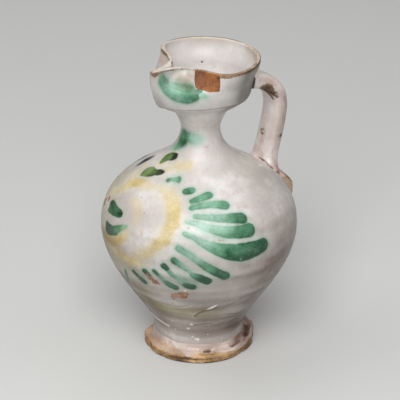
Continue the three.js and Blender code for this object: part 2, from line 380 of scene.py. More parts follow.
def blend(share, a, b, mode="MIX"):
    return wired(share.tree, "ShaderNodeMix", {0: share, 6: a, 7: b}, 2, data_type="RGBA", blend_type=mode)


def mixValue(share, a, b):
    return wired(share.tree, "ShaderNodeMix", {0: share, 2: a, 3: b}, data_type="FLOAT")


def noise(where, scale, detail=3, rough=0.55):
    return wired(where.tree, "ShaderNodeTexNoise", {"Vector": where, "Scale": scale, "Detail": detail,
                                                    "Roughness": rough}, "Fac")


def objectPlace(tree):
    return wired(tree, "ShaderNodeTexCoord", output="Object")


def field(tree, name):
    return wired(tree, "ShaderNodeAttribute", output="Fac", attribute_type="GEOMETRY", attribute_name=name)


def givenTo(tree):
    sockets = tree.nodes.new("NodeGroupInput").outputs
    return {socket.name: Wire(tree, socket) for socket in sockets if socket.name}


def newGroup(name, inputs):
    tree = bpy.data.node_groups.new(name, "ShaderNodeTree")
    for label, value in inputs.items():
        kind, value = ("Color", tint(*value)) if isinstance(value, tuple) else ("Float", value)
        made = tree.interface.new_socket(label, in_out="INPUT", socket_type="NodeSocket" + kind)
        made.default_value = value
    return tree, givenTo(tree), objectPlace(tree)


def putOut(tree, results):
    for label in results:
        tree.interface.new_socket(label, in_out="OUTPUT",
                                  socket_type="NodeSocketColor" if label == "Color" else "NodeSocketFloat")
    sockets = tree.nodes.new("NodeGroupOutput").inputs
    for label, value in results.items():
        tree.links.new(value.socket, sockets[label])
    return tree


def makeGlazeCoat():
    # milky tin glaze: cloudy tone, pinholes with a clay-brown eye, faint orange peel
    tree, given, where = newGroup("glazeCoat", {
        "Pale": (222, 214, 210), "Cloud": (203, 189, 186), "Pinhole": (120, 82, 62), "Blush": (204, 160, 138),
        "Pinholes": 1.0})
    tone = blend(spread(noise(where, 17, 4), 0.38, 0.64), given["Pale"], given["Cloud"])
    tone = blend(spread(noise(where, 95), 0.35, 0.7) * 0.6, tone, given["Cloud"])
    tone = blend(spread(noise(where, 260, 3, 0.6), 0.56, 0.7) * 0.36, tone, given["Blush"])
    cells = wired(tree, "ShaderNodeTexVoronoi", {"Vector": where, "Scale": 130})
    chosen = wired(tree, "ShaderNodeSeparateColor", {"Color": cells.of("Color")})
    rare = spread(chosen, 0.6, 0.72)
    eye = chosen.of(1) * 0.05 + 0.035 - cells.of("Distance")
    pit = (spread(eye, 0, 0.03) * rare).reckon("MULTIPLY", given["Pinholes"], clamp=True)
    tone = blend(spread(noise(where, 620, 2), 0.66, 0.74) * 0.34, tone, given["Pinhole"])
    tone = blend(spread(eye + 0.14, 0, 0.16) * rare * 0.3, tone, given["Blush"])
    tone = blend(pit * 0.75, tone, given["Pinhole"])
    peel = noise(where, 700, 2) * 0.16 + noise(where, 180) * 0.9
    return putOut(tree, {"Color": tone, "Roughness": noise(where, 60, 4) * 0.24 + 0.33 + pit * 0.3,
                         "Height": peel - pit * 0.8})


def makeBrushPaint():
    # oxide brushed on raw glaze: uneven load, pooled edge, a thin halo where it bled
    tree, given, where = newGroup("brushPaint", {
        "Under": (215, 205, 200), "Reach": untouched, "Load": 0.5, "Thin": (160, 208, 186),
        "Full": (92, 160, 124), "Deep": (34, 92, 62), "Edge": 0.7, "Waver": 1.0, "Bleed": 5.0, "Halo": 0.3,
        "Opacity": 1.0, "Fade": 0.0, "Grain": 0.5})
    wander = (noise(where, 80, 2) - 0.5) * 1.5 + (noise(where, 260) - 0.5) * 0.7
    reach = wander * given["Waver"] * 2.6 + given["Reach"]
    thin = spread(given["Load"], 0.5, -0.15, smooth=False) * given["Fade"]
    cover = spread(reach, given["Edge"] * -1, given["Edge"]) * (thin * -1 + 1)
    load = (noise(where, 95, 3, 0.5) - 0.5) * 1.3 + given["Load"] + spread(reach, 2.2, 0.8) * 0.1
    load = (noise(where, 620, 3, 0.6) - 0.5) * given["Grain"] + load
    paint = blend(spread(load, 0, 0.5, smooth=False), given["Thin"], given["Full"])
    paint = blend(spread(load, 0.5, 1, smooth=False), paint, given["Deep"])
    under = blend(spread(reach, given["Bleed"] * -1, 0) * given["Halo"], given["Under"], given["Thin"])
    return putOut(tree, {"Color": blend(cover * given["Opacity"], under, paint), "Cover": cover})


def makeBareClay():
    # fired earthenware where the glaze is missing
    tree, given, where = newGroup("bareClay", {
        "Light": (205, 170, 132), "Warm": (180, 128, 88), "Dirt": (96, 70, 50), "Grime": 0.5})
    tone = blend(spread(noise(where, 55, 4), 0.36, 0.66), given["Light"], given["Warm"])
    grains = spread(noise(where, 520, 3, 0.65), 0.42, 0.72)
    tone = blend(grains * 0.35, tone, given["Dirt"])
    tone = blend(spread(noise(where, 130, 5, 0.6), 0.5, 0.72) * given["Grime"], tone, given["Dirt"])
    height = noise(where, 330, 4, 0.6) * 0.9
    return putOut(tree, {"Color": tone, "Roughness": grains * 0.2 + 0.66, "Height": height})


glazeCoat, brushPaint, bareClay = makeGlazeCoat(), makeBrushPaint(), makeBareClay()
print("finishes built")


def startMaterial(name):
    material = bpy.data.materials.new(name)
    material.use_nodes = True
    shader = material.node_tree.nodes["Principled BSDF"]
    shader.inputs["IOR"].default_value = 1.5
    shader.inputs["Coat Roughness"].default_value = 0.22
    return material, material.node_tree, shader


def pigment(thin, full, deep):
    return {"Thin": thin, "Full": full, "Deep": deep}


def paint(label, colours, groove=0, **settings):
    # one colour laid by the fields labelReach and labelLoad; groove: how deep it sinks in the glaze
    return label, groove, {**colours, **settings}


def clay(label, ragged, soft, light, warm, dirt=(96, 70, 50), grime=0.5):
    # where the glaze is gone, by the field labelReach, with a ragged or a soft edge
    return label, ragged, soft, {"Light": light, "Warm": warm, "Dirt": dirt, "Grime": grime}


def glazedMaterial(name, glaze, paints, clays, shade=None, haze=None, depth=0.5, gloss=0.22):
    # glaze, the haze washed into it, the paints, the bare places, and painted shade over all of it
    material, tree, shader = startMaterial(name)
    where = objectPlace(tree)
    coat = wired(tree, "ShaderNodeGroup", glaze, node_tree=glazeCoat)
    colour, rough, height = (coat.of(label) for label in ("Color", "Roughness", "Height"))
    cloudy = noise(where, 42, 5, 0.6) * 0.9 + 0.55

    # multiplies the colour by a tone as far as a field says: the haze, and the painted shade
    def multipliedBy(colour, label, tone):
        if tone is None:
            return colour
        return blend(field(tree, label).reckon("MULTIPLY", cloudy, clamp=True), colour, tone, "MULTIPLY")

    colour = multipliedBy(colour, "haze", haze)
    for label, groove, inputs in paints:
        inputs = {**inputs, "Under": colour, "Reach": field(tree, label + "Reach")}
        if "Load" not in inputs:
            inputs["Load"] = field(tree, label + "Load")
        laid = wired(tree, "ShaderNodeGroup", inputs, node_tree=brushPaint)
        colour = laid.of("Color")
        if groove:
            height = laid.of("Cover") * -groove + height
    bare = None
    uneven = noise(where, 380, 5, 0.62) - 0.5
    for label, ragged, soft, inputs in clays:
        body = wired(tree, "ShaderNodeGroup", inputs, node_tree=bareClay)
        mask = spread(uneven * ragged + field(tree, label + "Reach"), -soft, soft)
        colour = blend(mask, colour, body.of("Color"))
        rough = mixValue(mask, rough, body.of("Roughness"))
        height = mixValue(mask, height, body.of("Height") * 0.5 + -1)
        bare = bare.reckon("MAXIMUM", mask) if bare else mask
    relief = wired(tree, "ShaderNodeBump", {"Strength": 0.6, "Distance": depth / 1000, "Height": height})
    for label, value in (("Base Color", multipliedBy(colour, "shade", shade)), ("Roughness", rough),
                         ("Normal", relief), ("Coat Weight", bare * -gloss + gloss)):
        tree.links.new(value.socket, shader.inputs[label])
    return material


# Mesh helpers

def quadGrid(rows, columns):
    # faces of rows of points that close round, row after row
    r, c = np.meshgrid(np.arange(rows - 1), np.arange(columns), indexing="ij")
    a, b = r * columns + c, r * columns + (c + 1) % columns
    return np.stack([a, b, b + columns, a + columns], axis=-1).reshape(-1, 4)


def closedSkin(rows, columns):
    # the same between two poles, the first point and the last
    faces, last = (quadGrid(rows, columns) + 1).tolist(), 1 + (rows - 1) * columns
    for k in range(columns):
        after = (k + 1) % columns
        faces += [[0, 1 + after, 1 + k], [last + columns, last + k, last + after]]
    return faces


def makeMesh(name, points, faces, material):
    mesh = bpy.data.meshes.new(name)
    mesh.from_pydata((points / 1000).tolist(), [], faces)
    mesh.materials.append(material)
    mesh.polygons.foreach_set("use_smooth", [True] * len(mesh.polygons))
    return mesh


def finishPiece(mesh, fields, slot, *nodes):
    # normals outwards, the fields that the material reads, and the place in the frame
    shell = bmesh.new()
    shell.from_mesh(mesh)
    bmesh.ops.recalc_face_normals(shell, faces=shell.faces)
    shell.to_mesh(mesh)
    shell.free()
    for label, values in fields.items():
        stored = mesh.attributes.new(label, "FLOAT", "POINT")
        stored.data.foreach_set("value", np.asarray(values, np.float32))
    piece = show(mesh.name, mesh)
    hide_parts(*nodes)
    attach(piece, "root")
    print(mesh.name, len(mesh.vertices), "points")


# The body: one thrown skin from the foot to the ridge, turned by a geometry tree

bodyThrow = {
    "columns": 320,
    "rowStep": 1.42,
    "innerStep": 6,
    "ridgeHeight": 0.17,    # throwing ridges left by the fingers
    "ridgePitch": 8.5,
    "wobble": 0.9,
    "seed": 11,
    "grains": 1500,         # to the square metre where they lie thickest
    "grainSize": 0.62,
    "grainSeed": 4,
    "nip": 0.55,            # the lip of the funnel is nipped a little, where the collar sits on it
    "nipLength": 2.2,
    "wallHeights": [185, 205, 250, 257],    # where the wall thins to the neck's, and then to the collar's
    "ridgeShares": ([8, 20, 60, 110, 150, 205, 215], [0.6, 1, 1, 0.5, 0.3, 0.25, 0]),   # by height
    "soleRadii": (0, 20, 40, 42.4),         # rows below the floor, and above it
    "floorRadii": (32, 16, 0),
}


def bodyProfile(throw):
    # rows of radius, ridge share, height: under the foot's centre, up outside, down inside
    def evenly(curve, step):
        return placesAt(curve, np.linspace(0, 1, max(int(runAlong(curve)[-1] / step), 2) + 1))

    outside = evenly(outerCurve, throw["rowStep"])
    run = np.gradient(outside, axis=0)
    run /= np.linalg.norm(run, axis=1)[:, None]
    wall = np.interp(outside[:, 1], throw["wallHeights"],
                     [pot["bodyWall"], pot["neckWall"], pot["neckWall"], pot["collarWall"]])
    inside = np.column_stack([outside[:, 0] - run[:, 1] * wall, outside[:, 1] + run[:, 0] * wall])
    floorZ = pot["footThickness"] + pot["floorThickness"]
    inside = inside[(inside[:, 1] > floorZ + 3) & (inside[:, 1] < ridgeZ - 1)]
    near = np.linalg.norm(outside - outside[-1], axis=1)
    outside[:, 0] -= throw["nip"] * np.clip(1 - near / throw["nipLength"], 0, 1) ** 2
    ridges = np.interp(outside[:, 1], *throw["ridgeShares"])
    rows = [(r, 0, pot["footThickness"]) for r in throw["soleRadii"]]
    rows += [(r, share, z) for (r, z), share in zip(outside, ridges)]
    rows += [(42.8, 0, ridgeZ), (41, 0, ridgeZ - 0.3)]
    rows += [(r, 0, z) for r, z in evenly(inside, throw["innerStep"])[::-1]]
    rows += [(35.5, 0, floorZ + 0.8)] + [(r, 0, floorZ) for r in throw["floorRadii"]]
    return np.array(rows)


def makeTurnedPot():
    tree = bpy.data.node_groups.new("turnedPot", "GeometryNodeTree")
    tree.interface.new_socket("Geometry", in_out="OUTPUT", socket_type="NodeSocketGeometry")
    for label, kind in (("Geometry", "Geometry"), ("Profile", "Object"), ("Rows", "Int"), ("Columns", "Int"),
                        ("Ridge Height", "Float"), ("Ridge Pitch", "Float"), ("Wobble", "Float"),
                        ("Seed", "Float"), ("Grains", "Float"), ("Grain Size", "Float"),
                        ("Grain Seed", "Int"), ("Glaze", "Material")):
        tree.interface.new_socket(label, in_out="INPUT", socket_type="NodeSocket" + kind)
    given = givenTo(tree)

    def step(kind, inputs=None, output=0, **settings):
        return wired(tree, "GeometryNode" + kind, inputs, output, **settings)

    def vector(*parts):
        return wired(tree, "ShaderNodeCombineXYZ", dict(enumerate(parts)))

    def split(whole):
        first = wired(tree, "ShaderNodeSeparateXYZ", {0: whole})
        return first, first.of(1), first.of(2)

    # a grid, its rows looked up in the profile and wrapped round
    lastRow, fullTurn = given["Rows"] - 1, 2 * math.pi
    grid = step("MeshGrid", {"Size X": lastRow, "Size Y": given["Columns"], "Vertices X": given["Rows"],
                             "Vertices Y": given["Columns"] + 1})
    place = step("InputPosition")
    x, y, z = split(place)
    angle = y * fullTurn / given["Columns"]
    profile = step("ObjectInfo", {"Object": given["Profile"]}, "Geometry")
    looked = step("SampleIndex", {"Geometry": profile}, data_type="FLOAT_VECTOR")
    tree.links.new(place.socket, looked.socket.node.inputs["Value"])
    tree.links.new((lastRow * 0.5 + x).reckon("ROUND").socket, looked.socket.node.inputs["Index"])
    radius, share, height = split(looked)
    cosine, sine = angle.reckon("COSINE"), angle.reckon("SINE")
    # throwing rings, and a slow unevenness
    wave = (height / given["Ridge Pitch"] * fullTurn + angle).reckon("SINE")
    slow, uneven = (wired(tree, "ShaderNodeTexNoise", {
        "Vector": vector(cosine * radius, sine * radius, height), "W": given["Seed"], "Scale": scale,
        "Detail": 1}, "Fac", noise_dimensions="4D") for scale in (16, 45))
    ridge = wave * given["Ridge Height"] * (share * uneven)
    grown = radius + (ridge + (slow - 0.5) * given["Wobble"] * spread(share, 0, 0.2))
    moved = step("SetPosition", {"Geometry": grid, "Position": vector(cosine * grown, sine * grown, height)})
    closed = step("MergeByDistance", {"Geometry": moved, "Distance": 1e-5})
    # grains of glaze splashed outside, thickest just above the foot; the sheet's normals face inwards here
    level = wired(tree, "ShaderNodeVectorMath", {0: vector(x, y)}, "Vector", operation="NORMALIZE")
    outward = wired(tree, "ShaderNodeVectorMath", {0: level, 1: step("InputNormal")}, "Value",
                    operation="DOT_PRODUCT")
    where = spread(outward, -0.2, -0.6) * (spread(z, 0.075, 0.03) * spread(z, 0.016, 0.02))
    dots = step("DistributePointsOnFaces", {"Mesh": closed, "Density": where * given["Grains"],
                                            "Seed": given["Grain Seed"]}, "Points")
    bead = step("MeshIcoSphere", {"Radius": given["Grain Size"], "Subdivisions": 2})
    marked = step("StoreNamedAttribute", {"Geometry": bead, "Name": "grain", "Value": 1.0}, data_type="FLOAT",
                  domain="POINT")
    size = wired(tree, "FunctionNodeRandomValue", {2: 0.35, 3: 1.2, "Seed": given["Grain Seed"]}, 1,
                 data_type="FLOAT")
    strewn = step("InstanceOnPoints", {"Points": dots, "Instance": marked, "Rotation": dots.of("Rotation"),
                                       "Scale": vector(size, size, size * 0.5)})
    whole = step("JoinGeometry", {0: closed})
    tree.links.new(strewn.socket, whole.socket.node.inputs[0])
    whole = step("RealizeInstances", {"Geometry": step("SetShadeSmooth", {"Geometry": whole})})
    coated = step("SetMaterial", {"Geometry": whole, "Material": given["Glaze"]})
    tree.links.new(coated.socket, tree.nodes.new("NodeGroupOutput").inputs[0])
    return tree


def runTree(name, tree, values):
    # puts a geometry tree on an object, sets its inputs and returns the plain mesh it makes
    holder = show(name + "Maker", bpy.data.meshes.new(name + "Start"))
    modifier = holder.modifiers.new(name, "NODES")
    modifier.node_group = tree
    labels = {item.name: item.identifier for item in tree.interface.items_tree
              if item.item_type == "SOCKET" and item.in_out == "INPUT"}
    for label, value in values.items():
        modifier[labels[label]] = value
    holder.update_tag()
    bpy.context.view_layer.update()
    mesh = bpy.data.meshes.new_from_object(holder.evaluated_get(bpy.context.evaluated_depsgraph_get()))
    mesh.name = name
    holder.modifiers.clear()
    bpy.data.objects.remove(holder)
    return mesh


greenPaint = pigment((154, 196, 176), (94, 150, 117), (18, 84, 50))
ochrePaint = pigment((224, 213, 176), (212, 192, 132), (190, 162, 92))
olivePaint = pigment((124, 148, 90), (84, 110, 60), (26, 36, 20))
leafPaint = pigment((146, 184, 152), (76, 120, 84), (26, 66, 42))
inkPaint = pigment((176, 184, 178), (92, 100, 98), (34, 42, 36))
# colours for painted highlights
glintPaint = pigment((226, 222, 216), (240, 237, 232), (248, 246, 242))
seamPaint = pigment((150, 132, 120), (104, 86, 76), (54, 42, 36))

bodyGlaze = glazedMaterial(
    "tinGlazeBody",
    {"Pale": (229, 226, 222), "Cloud": (200, 192, 188), "Pinholes": 1},
    [
        paint("ochre", ochrePaint, Edge=3.4, Waver=2.2, Halo=0.3, Bleed=7,
              Opacity=0.88, Fade=0.85, Grain=1.4),
        paint("wash", greenPaint, Edge=2.6, Waver=0.9, Halo=0.4, Bleed=6, Fade=0.7),
        paint("green", greenPaint, Edge=1, Waver=0.4, Halo=0.45, Bleed=4.5, Fade=0.35),
        paint("leaf", leafPaint, Edge=0.8, Waver=0.4, Halo=0.3, Bleed=3.5),
        paint("olive", olivePaint, Edge=0.8, Waver=0.4, Halo=0.1),
        paint("ink", inkPaint, Edge=0.8, Waver=0.4, Halo=0.15),
        # painted highlights and glints
        paint("white", glintPaint, Load=0.8, Edge=0.7, Waver=0.2, Halo=0, Opacity=0.9),
        paint("seam", seamPaint, 1.6, Load=0.5, Edge=0.6, Waver=0.25, Halo=0.1, Bleed=2, Opacity=0.85),
    ],
    [clay("chip", 9, 0.35, (208, 166, 134), (174, 120, 86), grime=0.6)],
    shade=(140, 126, 116), haze=(204, 198, 140),
)

greenStrokes = strokes(
    ([(43.2, 180.3), (45.9, 180.8), (48.4, 181.2)], [7, 8, 7.4], [0.9, 0.9, 0.62]),
    ([(49.8, 175), (57.3, 177), (64.4, 178.4)], [5.6, 7.8, 8], [0.6, 0.35, 0.55]),
    ([(50.4, 171.2), (60.4, 172.8), (69.6, 172.8), (75.9, 171.6)], [5.8, 6.6, 8, 9.2],
     [0.62, 0.34, 0.36, 0.62]),
    ([(52.8, 165.8), (63.1, 164.8), (73.2, 163.4), (84.8, 161.4)], [4.8, 6.8, 9, 11],
     [0.24, 0.18, 0.36, 0.78]),
    ([(47.6, 161.9), (53.6, 161.1), (61.3, 157.8), (69.8, 154.6), (78.5, 152.2), (87.2, 151.6)],
     [4.2, 6, 8.4, 10.6, 12, 12.8], [0.14, 0.1, 0.16, 0.38, 0.52, 0.8]),
    ([(46.7, 153.4), (52, 150.9), (57.9, 146.2), (64.8, 141.3), (72.9, 136.6), (80.7, 134.2), (88.6, 133.9),
     (94.6, 135.2)], [4.4, 5.6, 8.4, 12, 15.6, 17.6, 16.6, 13.6],
     [0.3, 0.12, 0.24, 0.44, 0.8, 0.84, 0.96, 1]),
    ([(43.6, 140.9), (50.5, 135), (57.8, 126.4), (64.7, 118.4), (70.6, 112.6)], [6.2, 6.4, 7.4, 8.8, 9.6],
     [0.34, 0.14, 0.34, 0.66, 0.95]),
    # below the fan the brush ran dry and was set down again, so each stroke is in two or three parts
    ([(41.2, 129.3), (45.6, 124.9), (50.6, 119)], [6.6, 5.8, 3.6], [0.7, 0.24, 0.1]),
    ([(51.8, 115.4), (56.2, 111.8), (60.4, 108.2)], [5.4, 8.6, 9], [0.5, 0.84, 1]),
    ([(35.4, 121.9), (37, 119.5)], [6.6, 5.8], [0.95, 0.85]),
    ([(38, 117.4), (40.4, 113.4), (43.4, 109.8)], [4.6, 5, 3.6], [0.42, 0.3, 0.1]),
    ([(43, 109), (45.4, 105)], [4.4, 5.4], [0.05, 0.05]),
    ([(46.4, 103.8), (49, 101.8), (51.6, 100.8)], [4.6, 7.6, 7.6], [0.5, 0.82, 0.95]),
    ([(29, 114.4), (31, 111.2)], [5, 4.6], [0.85, 0.6]),
    ([(31.8, 109.8), (34.2, 106)], [4.2, 4.4], [0.24, 0.14]),
    ([(35.2, 104.2), (37.6, 101.2), (41, 98.4)], [4.8, 7.6, 7.4], [0.5, 0.76, 0.95]),
    ([(22.6, 110.9), (25, 107.4)], [6.4, 5.2], [0.9, 0.75]),
    ([(13.2, 105.3), (16.4, 100.9), (20, 96.8)], [4.8, 6.6, 6.4], [1.1, 0.9, 0.8]),
    ([(4.9, 102.7), (3.2, 94.2), (1.6, 87.2)], [2.6, 4, 2.6], [0.7, 0.8, 0.6]),
    settle=0.12,
)
leafShapes = shapes(
    # the bud and its dark drop
    ([(-19.5, 156.9), (-14.8, 157.5), (-10.2, 156.8), (-6.5, 156.7), (-2.9, 156.4), (-1, 154.8),
     (-1.1, 151.4), (-3.3, 150), (-6.4, 149), (-10.8, 147.9), (-15.9, 147), (-18.9, 147.4), (-19.2, 150.7),
     (-20.7, 153.8)], 0, (-20, 150), (-2, 153), [0.8, 0.58, 0.58, 0.75]),
    ([(-5.4, 155.3), (-2.6, 155.8), (-0.9, 154.9), (-0.8, 152.3), (-2.3, 151.1), (-5, 150.6), (-6.6, 151.8),
     (-6.9, 153.7)], 0.4, (-6, 153), (-1, 153), [0.95, 1.3]),
    # the crescent below it
    ([(-15.4, 140.1), (-12.8, 139.8), (-8.9, 140.3), (-5.7, 141.1), (-1.2, 144.5), (3.1, 147.3),
     (7.4, 148.8), (8, 147.3), (5.1, 143.5), (2.3, 139.9), (0, 135.7), (-4.3, 132.2), (-9.9, 129.6),
     (-14.7, 130.5), (-15.8, 135.4)], 0, (-15, 134), (7, 147), [1.4, 1.1, 0.6, 0.15, -0.15]),
)
greenShapes = shapes(
    # the dab above the fan
    ([(15.8, 184), (17, 185.5), (21.3, 186.3), (25.8, 187.3), (29.4, 188.5), (33.1, 188), (34, 185.9),
     (33.2, 184.4), (27.9, 184.5), (22.7, 184.4), (20.2, 183.3)], 0, (17, 184), (33, 186),
     [0.8, 0.42, 0.34, 0.6]),
)
# washes on the neck: a dark dab, its pale edge and its tail, and thin colour between the fan's strokes
washStrokes = strokes(
    ([(3, 218.5), (3.5, 213), (-4, 208.5)], [10, 13, 9], [0.85, 0.95, 0.6]),
    ([(7, 217), (16, 217.5), (28, 217), (40, 216.5), (52, 216.5)], [11, 11, 10, 10, 9],
     [0.95, 0.6, 0.3, 0.2, 0.16]),
    ([(-4, 207.5), (-16, 204), (-30, 201.5)], [8, 7, 5], [0.5, 0.3, 0.1]),
    ([(58, 156.5), (70, 150.5)], [3, 3], [0.05, 0.05]),
    ([(44, 112), (52, 104)], [5, 6], [0.1, 0.1]),
)
oliveShapes = shapes(
    ([(-14.1, 189.8), (-21.3, 192.7), (-22.8, 196.1), (-15.3, 199), (-3.7, 201), (5.8, 200.9), (8.6, 198.7),
     (5.8, 196.4), (-3, 194.7), (-8.6, 192.7)], 0, (-15, 191), (5, 199), [0.12, 0.3, 0.4, 0.95]),
    ([(-6.5, 196.9), (-4.1, 200.3), (2.5, 201), (7.1, 200.6), (8.4, 198.2), (3.1, 196), (-2.7, 195.3)], 0.6,
     (-6, 197), (6, 199), [0.85, 1.15, 1.05]),
    ([(-18.7, 178.5), (-21.6, 179.9), (-23.6, 181.7), (-24.2, 183.8), (-21.2, 185.7), (-16.1, 186.7),
     (-9.3, 186.9), (-1.9, 187.9), (4.8, 188), (6.1, 186.7), (2.7, 185.4), (-2.2, 184), (-4.2, 182.8),
     (-7.9, 181.1), (-13.2, 179.7)], 0, (-22, 182), (5, 187), [0.25, 0.15, 0.55, 0.7, 0.95]),
    ([(-7.5, 184.2), (-7.4, 186.1), (-1.6, 187.9), (5.5, 188), (5.3, 186.3), (0.3, 184.6)], 0.5, (-7, 185),
     (5, 187), [0.85, 1.15]),
)
inkStrokes = strokes(
    ([(-44.4, 176.9), (-45.2, 179.4), (-47.4, 181.5), (-48, 183.9), (-46.6, 186.8)],
     [3.6, 7.4, 10, 8.6, 3.6], [0.1, 0.6, 0.95, 0.85, 0.2]),
    ([(-66, 169), (-66, 172.6), (-66.5, 175.6), (-67.5, 178.6)], [4.6, 10.4, 10.4, 4.6],
     [0.2, 0.75, 0.7, 0.2]),
)
ochreStrokes = strokes(
    # the ring round the bud
    ([(-32.4, 153.9), (-24.8, 161.8), (-19.2, 167.7), (-16.7, 172.4), (-11.4, 175.7), (-0.5, 177.3),
     (8.3, 178.2), (15.2, 179.7)], [7, 7, 7, 10, 12, 9, 7, 6],
     [0.14, 0.14, 0.16, 0.36, 0.95, 0.3, 0.12, 0.12]),
    ([(15.2, 179.7), (24.1, 178.1), (31.6, 174.9), (34.9, 171), (37.1, 166.2), (37.8, 160.2), (36.3, 153.1),
     (33.4, 145.9), (29.6, 138.7), (24.6, 132.2), (18.5, 125.5)], [6, 9, 12, 13, 14, 13, 12, 11, 10, 8, 8],
     [0.15, 0.25, 0.4, 0.5, 0.62, 0.6, 0.5, 0.42, 0.38, 0.38, 0.36]),
    ([(1.1, 119.1), (6.7, 117.5), (12.7, 118), (18.9, 120.2)], [8, 8, 8, 8], [0.55, 0.5, 0.42, 0.36]),
    ([(-21.1, 123.5), (-10.5, 125.4), (-0.5, 131.4), (6.5, 138.6), (9.1, 143.8)], [14, 13, 13, 10, 6],
     [1, 1.1, 1, 0.7, 0.2]),
    # the hook inside it and the veins between the leaves
    ([(1.7, 166.3), (7.7, 164), (11.5, 159.9), (12.4, 153.7)], [5, 6, 6, 4], [0.1, 0.16, 0.16, 0.05]),
    ([(4.1, 187.5), (12.6, 191.6), (27.1, 194.6), (38.4, 196)], [5, 6, 7, 7], [0.15, 0.2, 0.25, 0.35]),
    ([(-16.7, 172.4), (-22.1, 173.4), (-25.7, 176.3), (-29.2, 179.5), (-34.9, 184.2)], [8, 7, 5, 4, 3],
     [0.45, 0.3, 0.2, 0.1, 0.1]),
    ([(-14, 189.5), (-10.5, 197), (-6, 202.5)], [6, 8, 6], [0.1, 0.2, 0.1]),
)
# hairline seams where the throwing rings folded
seamStrokes = strokes(
    ([(51.7, 56), (55, 61.2), (57.9, 63.6), (61.8, 65.6), (65.5, 67), (69, 70.3)],
     [1.8, 2.6, 2, 1.8, 1.8, 1.2]),
    ([(70.9, 68), (76.8, 70.2), (84.7, 74.4), (93.3, 78.6)], [0.8, 1.5, 1.5, 1]),
    ([(51, 41.2), (58.6, 43.4), (68.5, 44.2)], [1.4, 1.6, 1]),
    ([(64.7, 55.6), (80.8, 54.8), (98.4, 50.2)], [0.8, 1.4, 1]),
    ([(85, 30.5), (104, 31.8), (120, 30)], [0.6, 1.2, 0.8]),
    ([(-150, 60), (-128, 64), (-105, 63)], [0.5, 1.2, 0.5]),
    ([(-70, 47), (-50, 50), (-36, 49)], [0.5, 1, 0.5]),
)
# painted highlights: glints along a ridge and a scratch, on specks by the foot, in the fan and by the strap's
# foot
glintStrokes = strokes(
    ([(61.6, 67.8), (65, 70.2), (68.4, 73.4)], [1.2, 2.8, 1.6]),
    ([(-8, 37.6), (4.8, 35.2), (17.2, 33)], [3, 4, 3.4]),
    ([(24.8, 69.8), (32.8, 68), (45.1, 70.1), (50.5, 73.2)], [-0.3, 0.4, 0.4, -0.2]),
    ([(47.8, 42.3)], [3]),
    ([(43.7, 35.4)], [2.4]),
    ([(53.8, 20.9)], [2.6]),
    ([(47.6, 23.8)], [2]),
    ([(47, 96), (46.8, 89)], [1.2, 2]),
    ([(147, 180), (152.9, 178.5), (160, 176)], [0.6, 2, 0.4]),
    ([(79.5, 127.8)], [1.4]),
)
chipShapes = shapes(
    ([(23.9, 110.8), (26.7, 106.1), (30.4, 103), (31.3, 99.7), (27.7, 98), (24.7, 101.6), (23.2, 105.7)],
     -0.5),
    ([(37.4, 89.9), (40.9, 92.2), (44.3, 93.7), (48.1, 95), (49.9, 91), (48.3, 85.2), (44.8, 82.4),
     (41.5, 83.8), (37.9, 78.4), (36.6, 83.9)], -1.2),
    ([(-29, 154.5), (-26, 155.5), (-24.5, 153), (-27, 152)], 0.3),
    ([(-32, 150.5), (-29.5, 150.5), (-27.5, 146.5), (-31, 143.5), (-34, 146)], -0.2),
    ([(66, 148.6), (68, 148), (70.5, 147), (70.2, 145.8), (67.2, 146.6), (65.4, 147.6)], -0.9),
    ([(-112, 71), (-106, 73), (-101, 70), (-105, 66), (-111, 67)], -1),
)
bodyPaint = {
    "green": (greenStrokes, greenShapes), "wash": (washStrokes,), "leaf": ([], leafShapes),
    "olive": ([], oliveShapes), "ink": (inkStrokes,), "ochre": (ochreStrokes,),
    "chip": ([], chipShapes), "seam": (seamStrokes,), "white": (glintStrokes,),
}
# painted shade on the lower sides, on the neck under the cup and on the left shoulder: strength, ramps by
# azimuth, ramps by height
bodyShades = [
    (0.3, (84, 112, 172, 124), (194, 128, 20, 40)),
    (0.42, (34, 6, -75, -25), (102, 80, 24, 40)),
    (0.22, (), (243, 253)),
    (0.75, (76, 98, 176, 140), (238, 249)),
    (0.3, (48, 12, -110, -50), (224, 240)),
    (0.16, (70, 20, -12, 12), (165, 185, 232, 208)),
]
# and painted shade all round, by height, heaviest just above the foot
lowShade = ([10, 24, 36, 48, 60, 74, 100, 122, 146, 175],
            [0.42, 0.52, 0.6, 0.68, 0.58, 0.46, 0.4, 0.3, 0.12, 0])


def bodyTones(points):
    # painted shade low down and on the sides away from the front, streaked along the throwing rings, and
    # yellow where the ochre washed into the glaze
    azimuth, z = azimuthOf(points), points[:, 2]
    rings = softNoise(points * [0.12, 0.12, 1.5], 9, 41)
    clouds = softNoise(points, 55, 42)
    away = np.abs(turnFrom(azimuth, 42))
    low = np.interp(z, *lowShade) * (1 - 0.3 * smoothStep(95, 150, away))
    shade = low * (1 + 0.22 * rings + 0.18 * clouds) + 0.035 * (rings + 1) * smoothStep(235, 150, z)
    shade += 0.3 * smoothStep(22, 72, away) * window(z, 172, 92, 10, 40) * (1 + 0.25 * clouds)
    for strength, around, upright in bodyShades:
        shade += strength * window(azimuth, *around) * window(z, *upright)
    left = window(azimuth, 4, -34, -84, -36)
    haze = (0.33 + 0.08 * clouds) * left * window(z, 84, 124, 192, 160)
    haze += 0.3 * left * window(z, 200, 215, 252, 236)
    # partly painted shade: the lower left side is darkened here as well as yellowed
    haze += 0.5 * window(azimuth, 36, 10, -60, -20) * window(z, 100, 84, 48, 66)
    haze += 0.8 * window(azimuth, -50, -10, 86, 56) * bump(z - 3 * rings, 61, 9)
    haze += 0.6 * window(azimuth, -50, -15, 34, 8) * bump(z, 108, 14)
    haze += 0.4 * window(azimuth, -50, -20, 10, -8) * bump(z, 122, 12)
    haze += 0.14 * smoothStep(0.4, 1.2, softNoise(points, 70, 44)) * smoothStep(60, 110, z)
    return {"shade": np.clip(shade, 0, 0.93), "haze": np.clip(haze, 0, 1)}


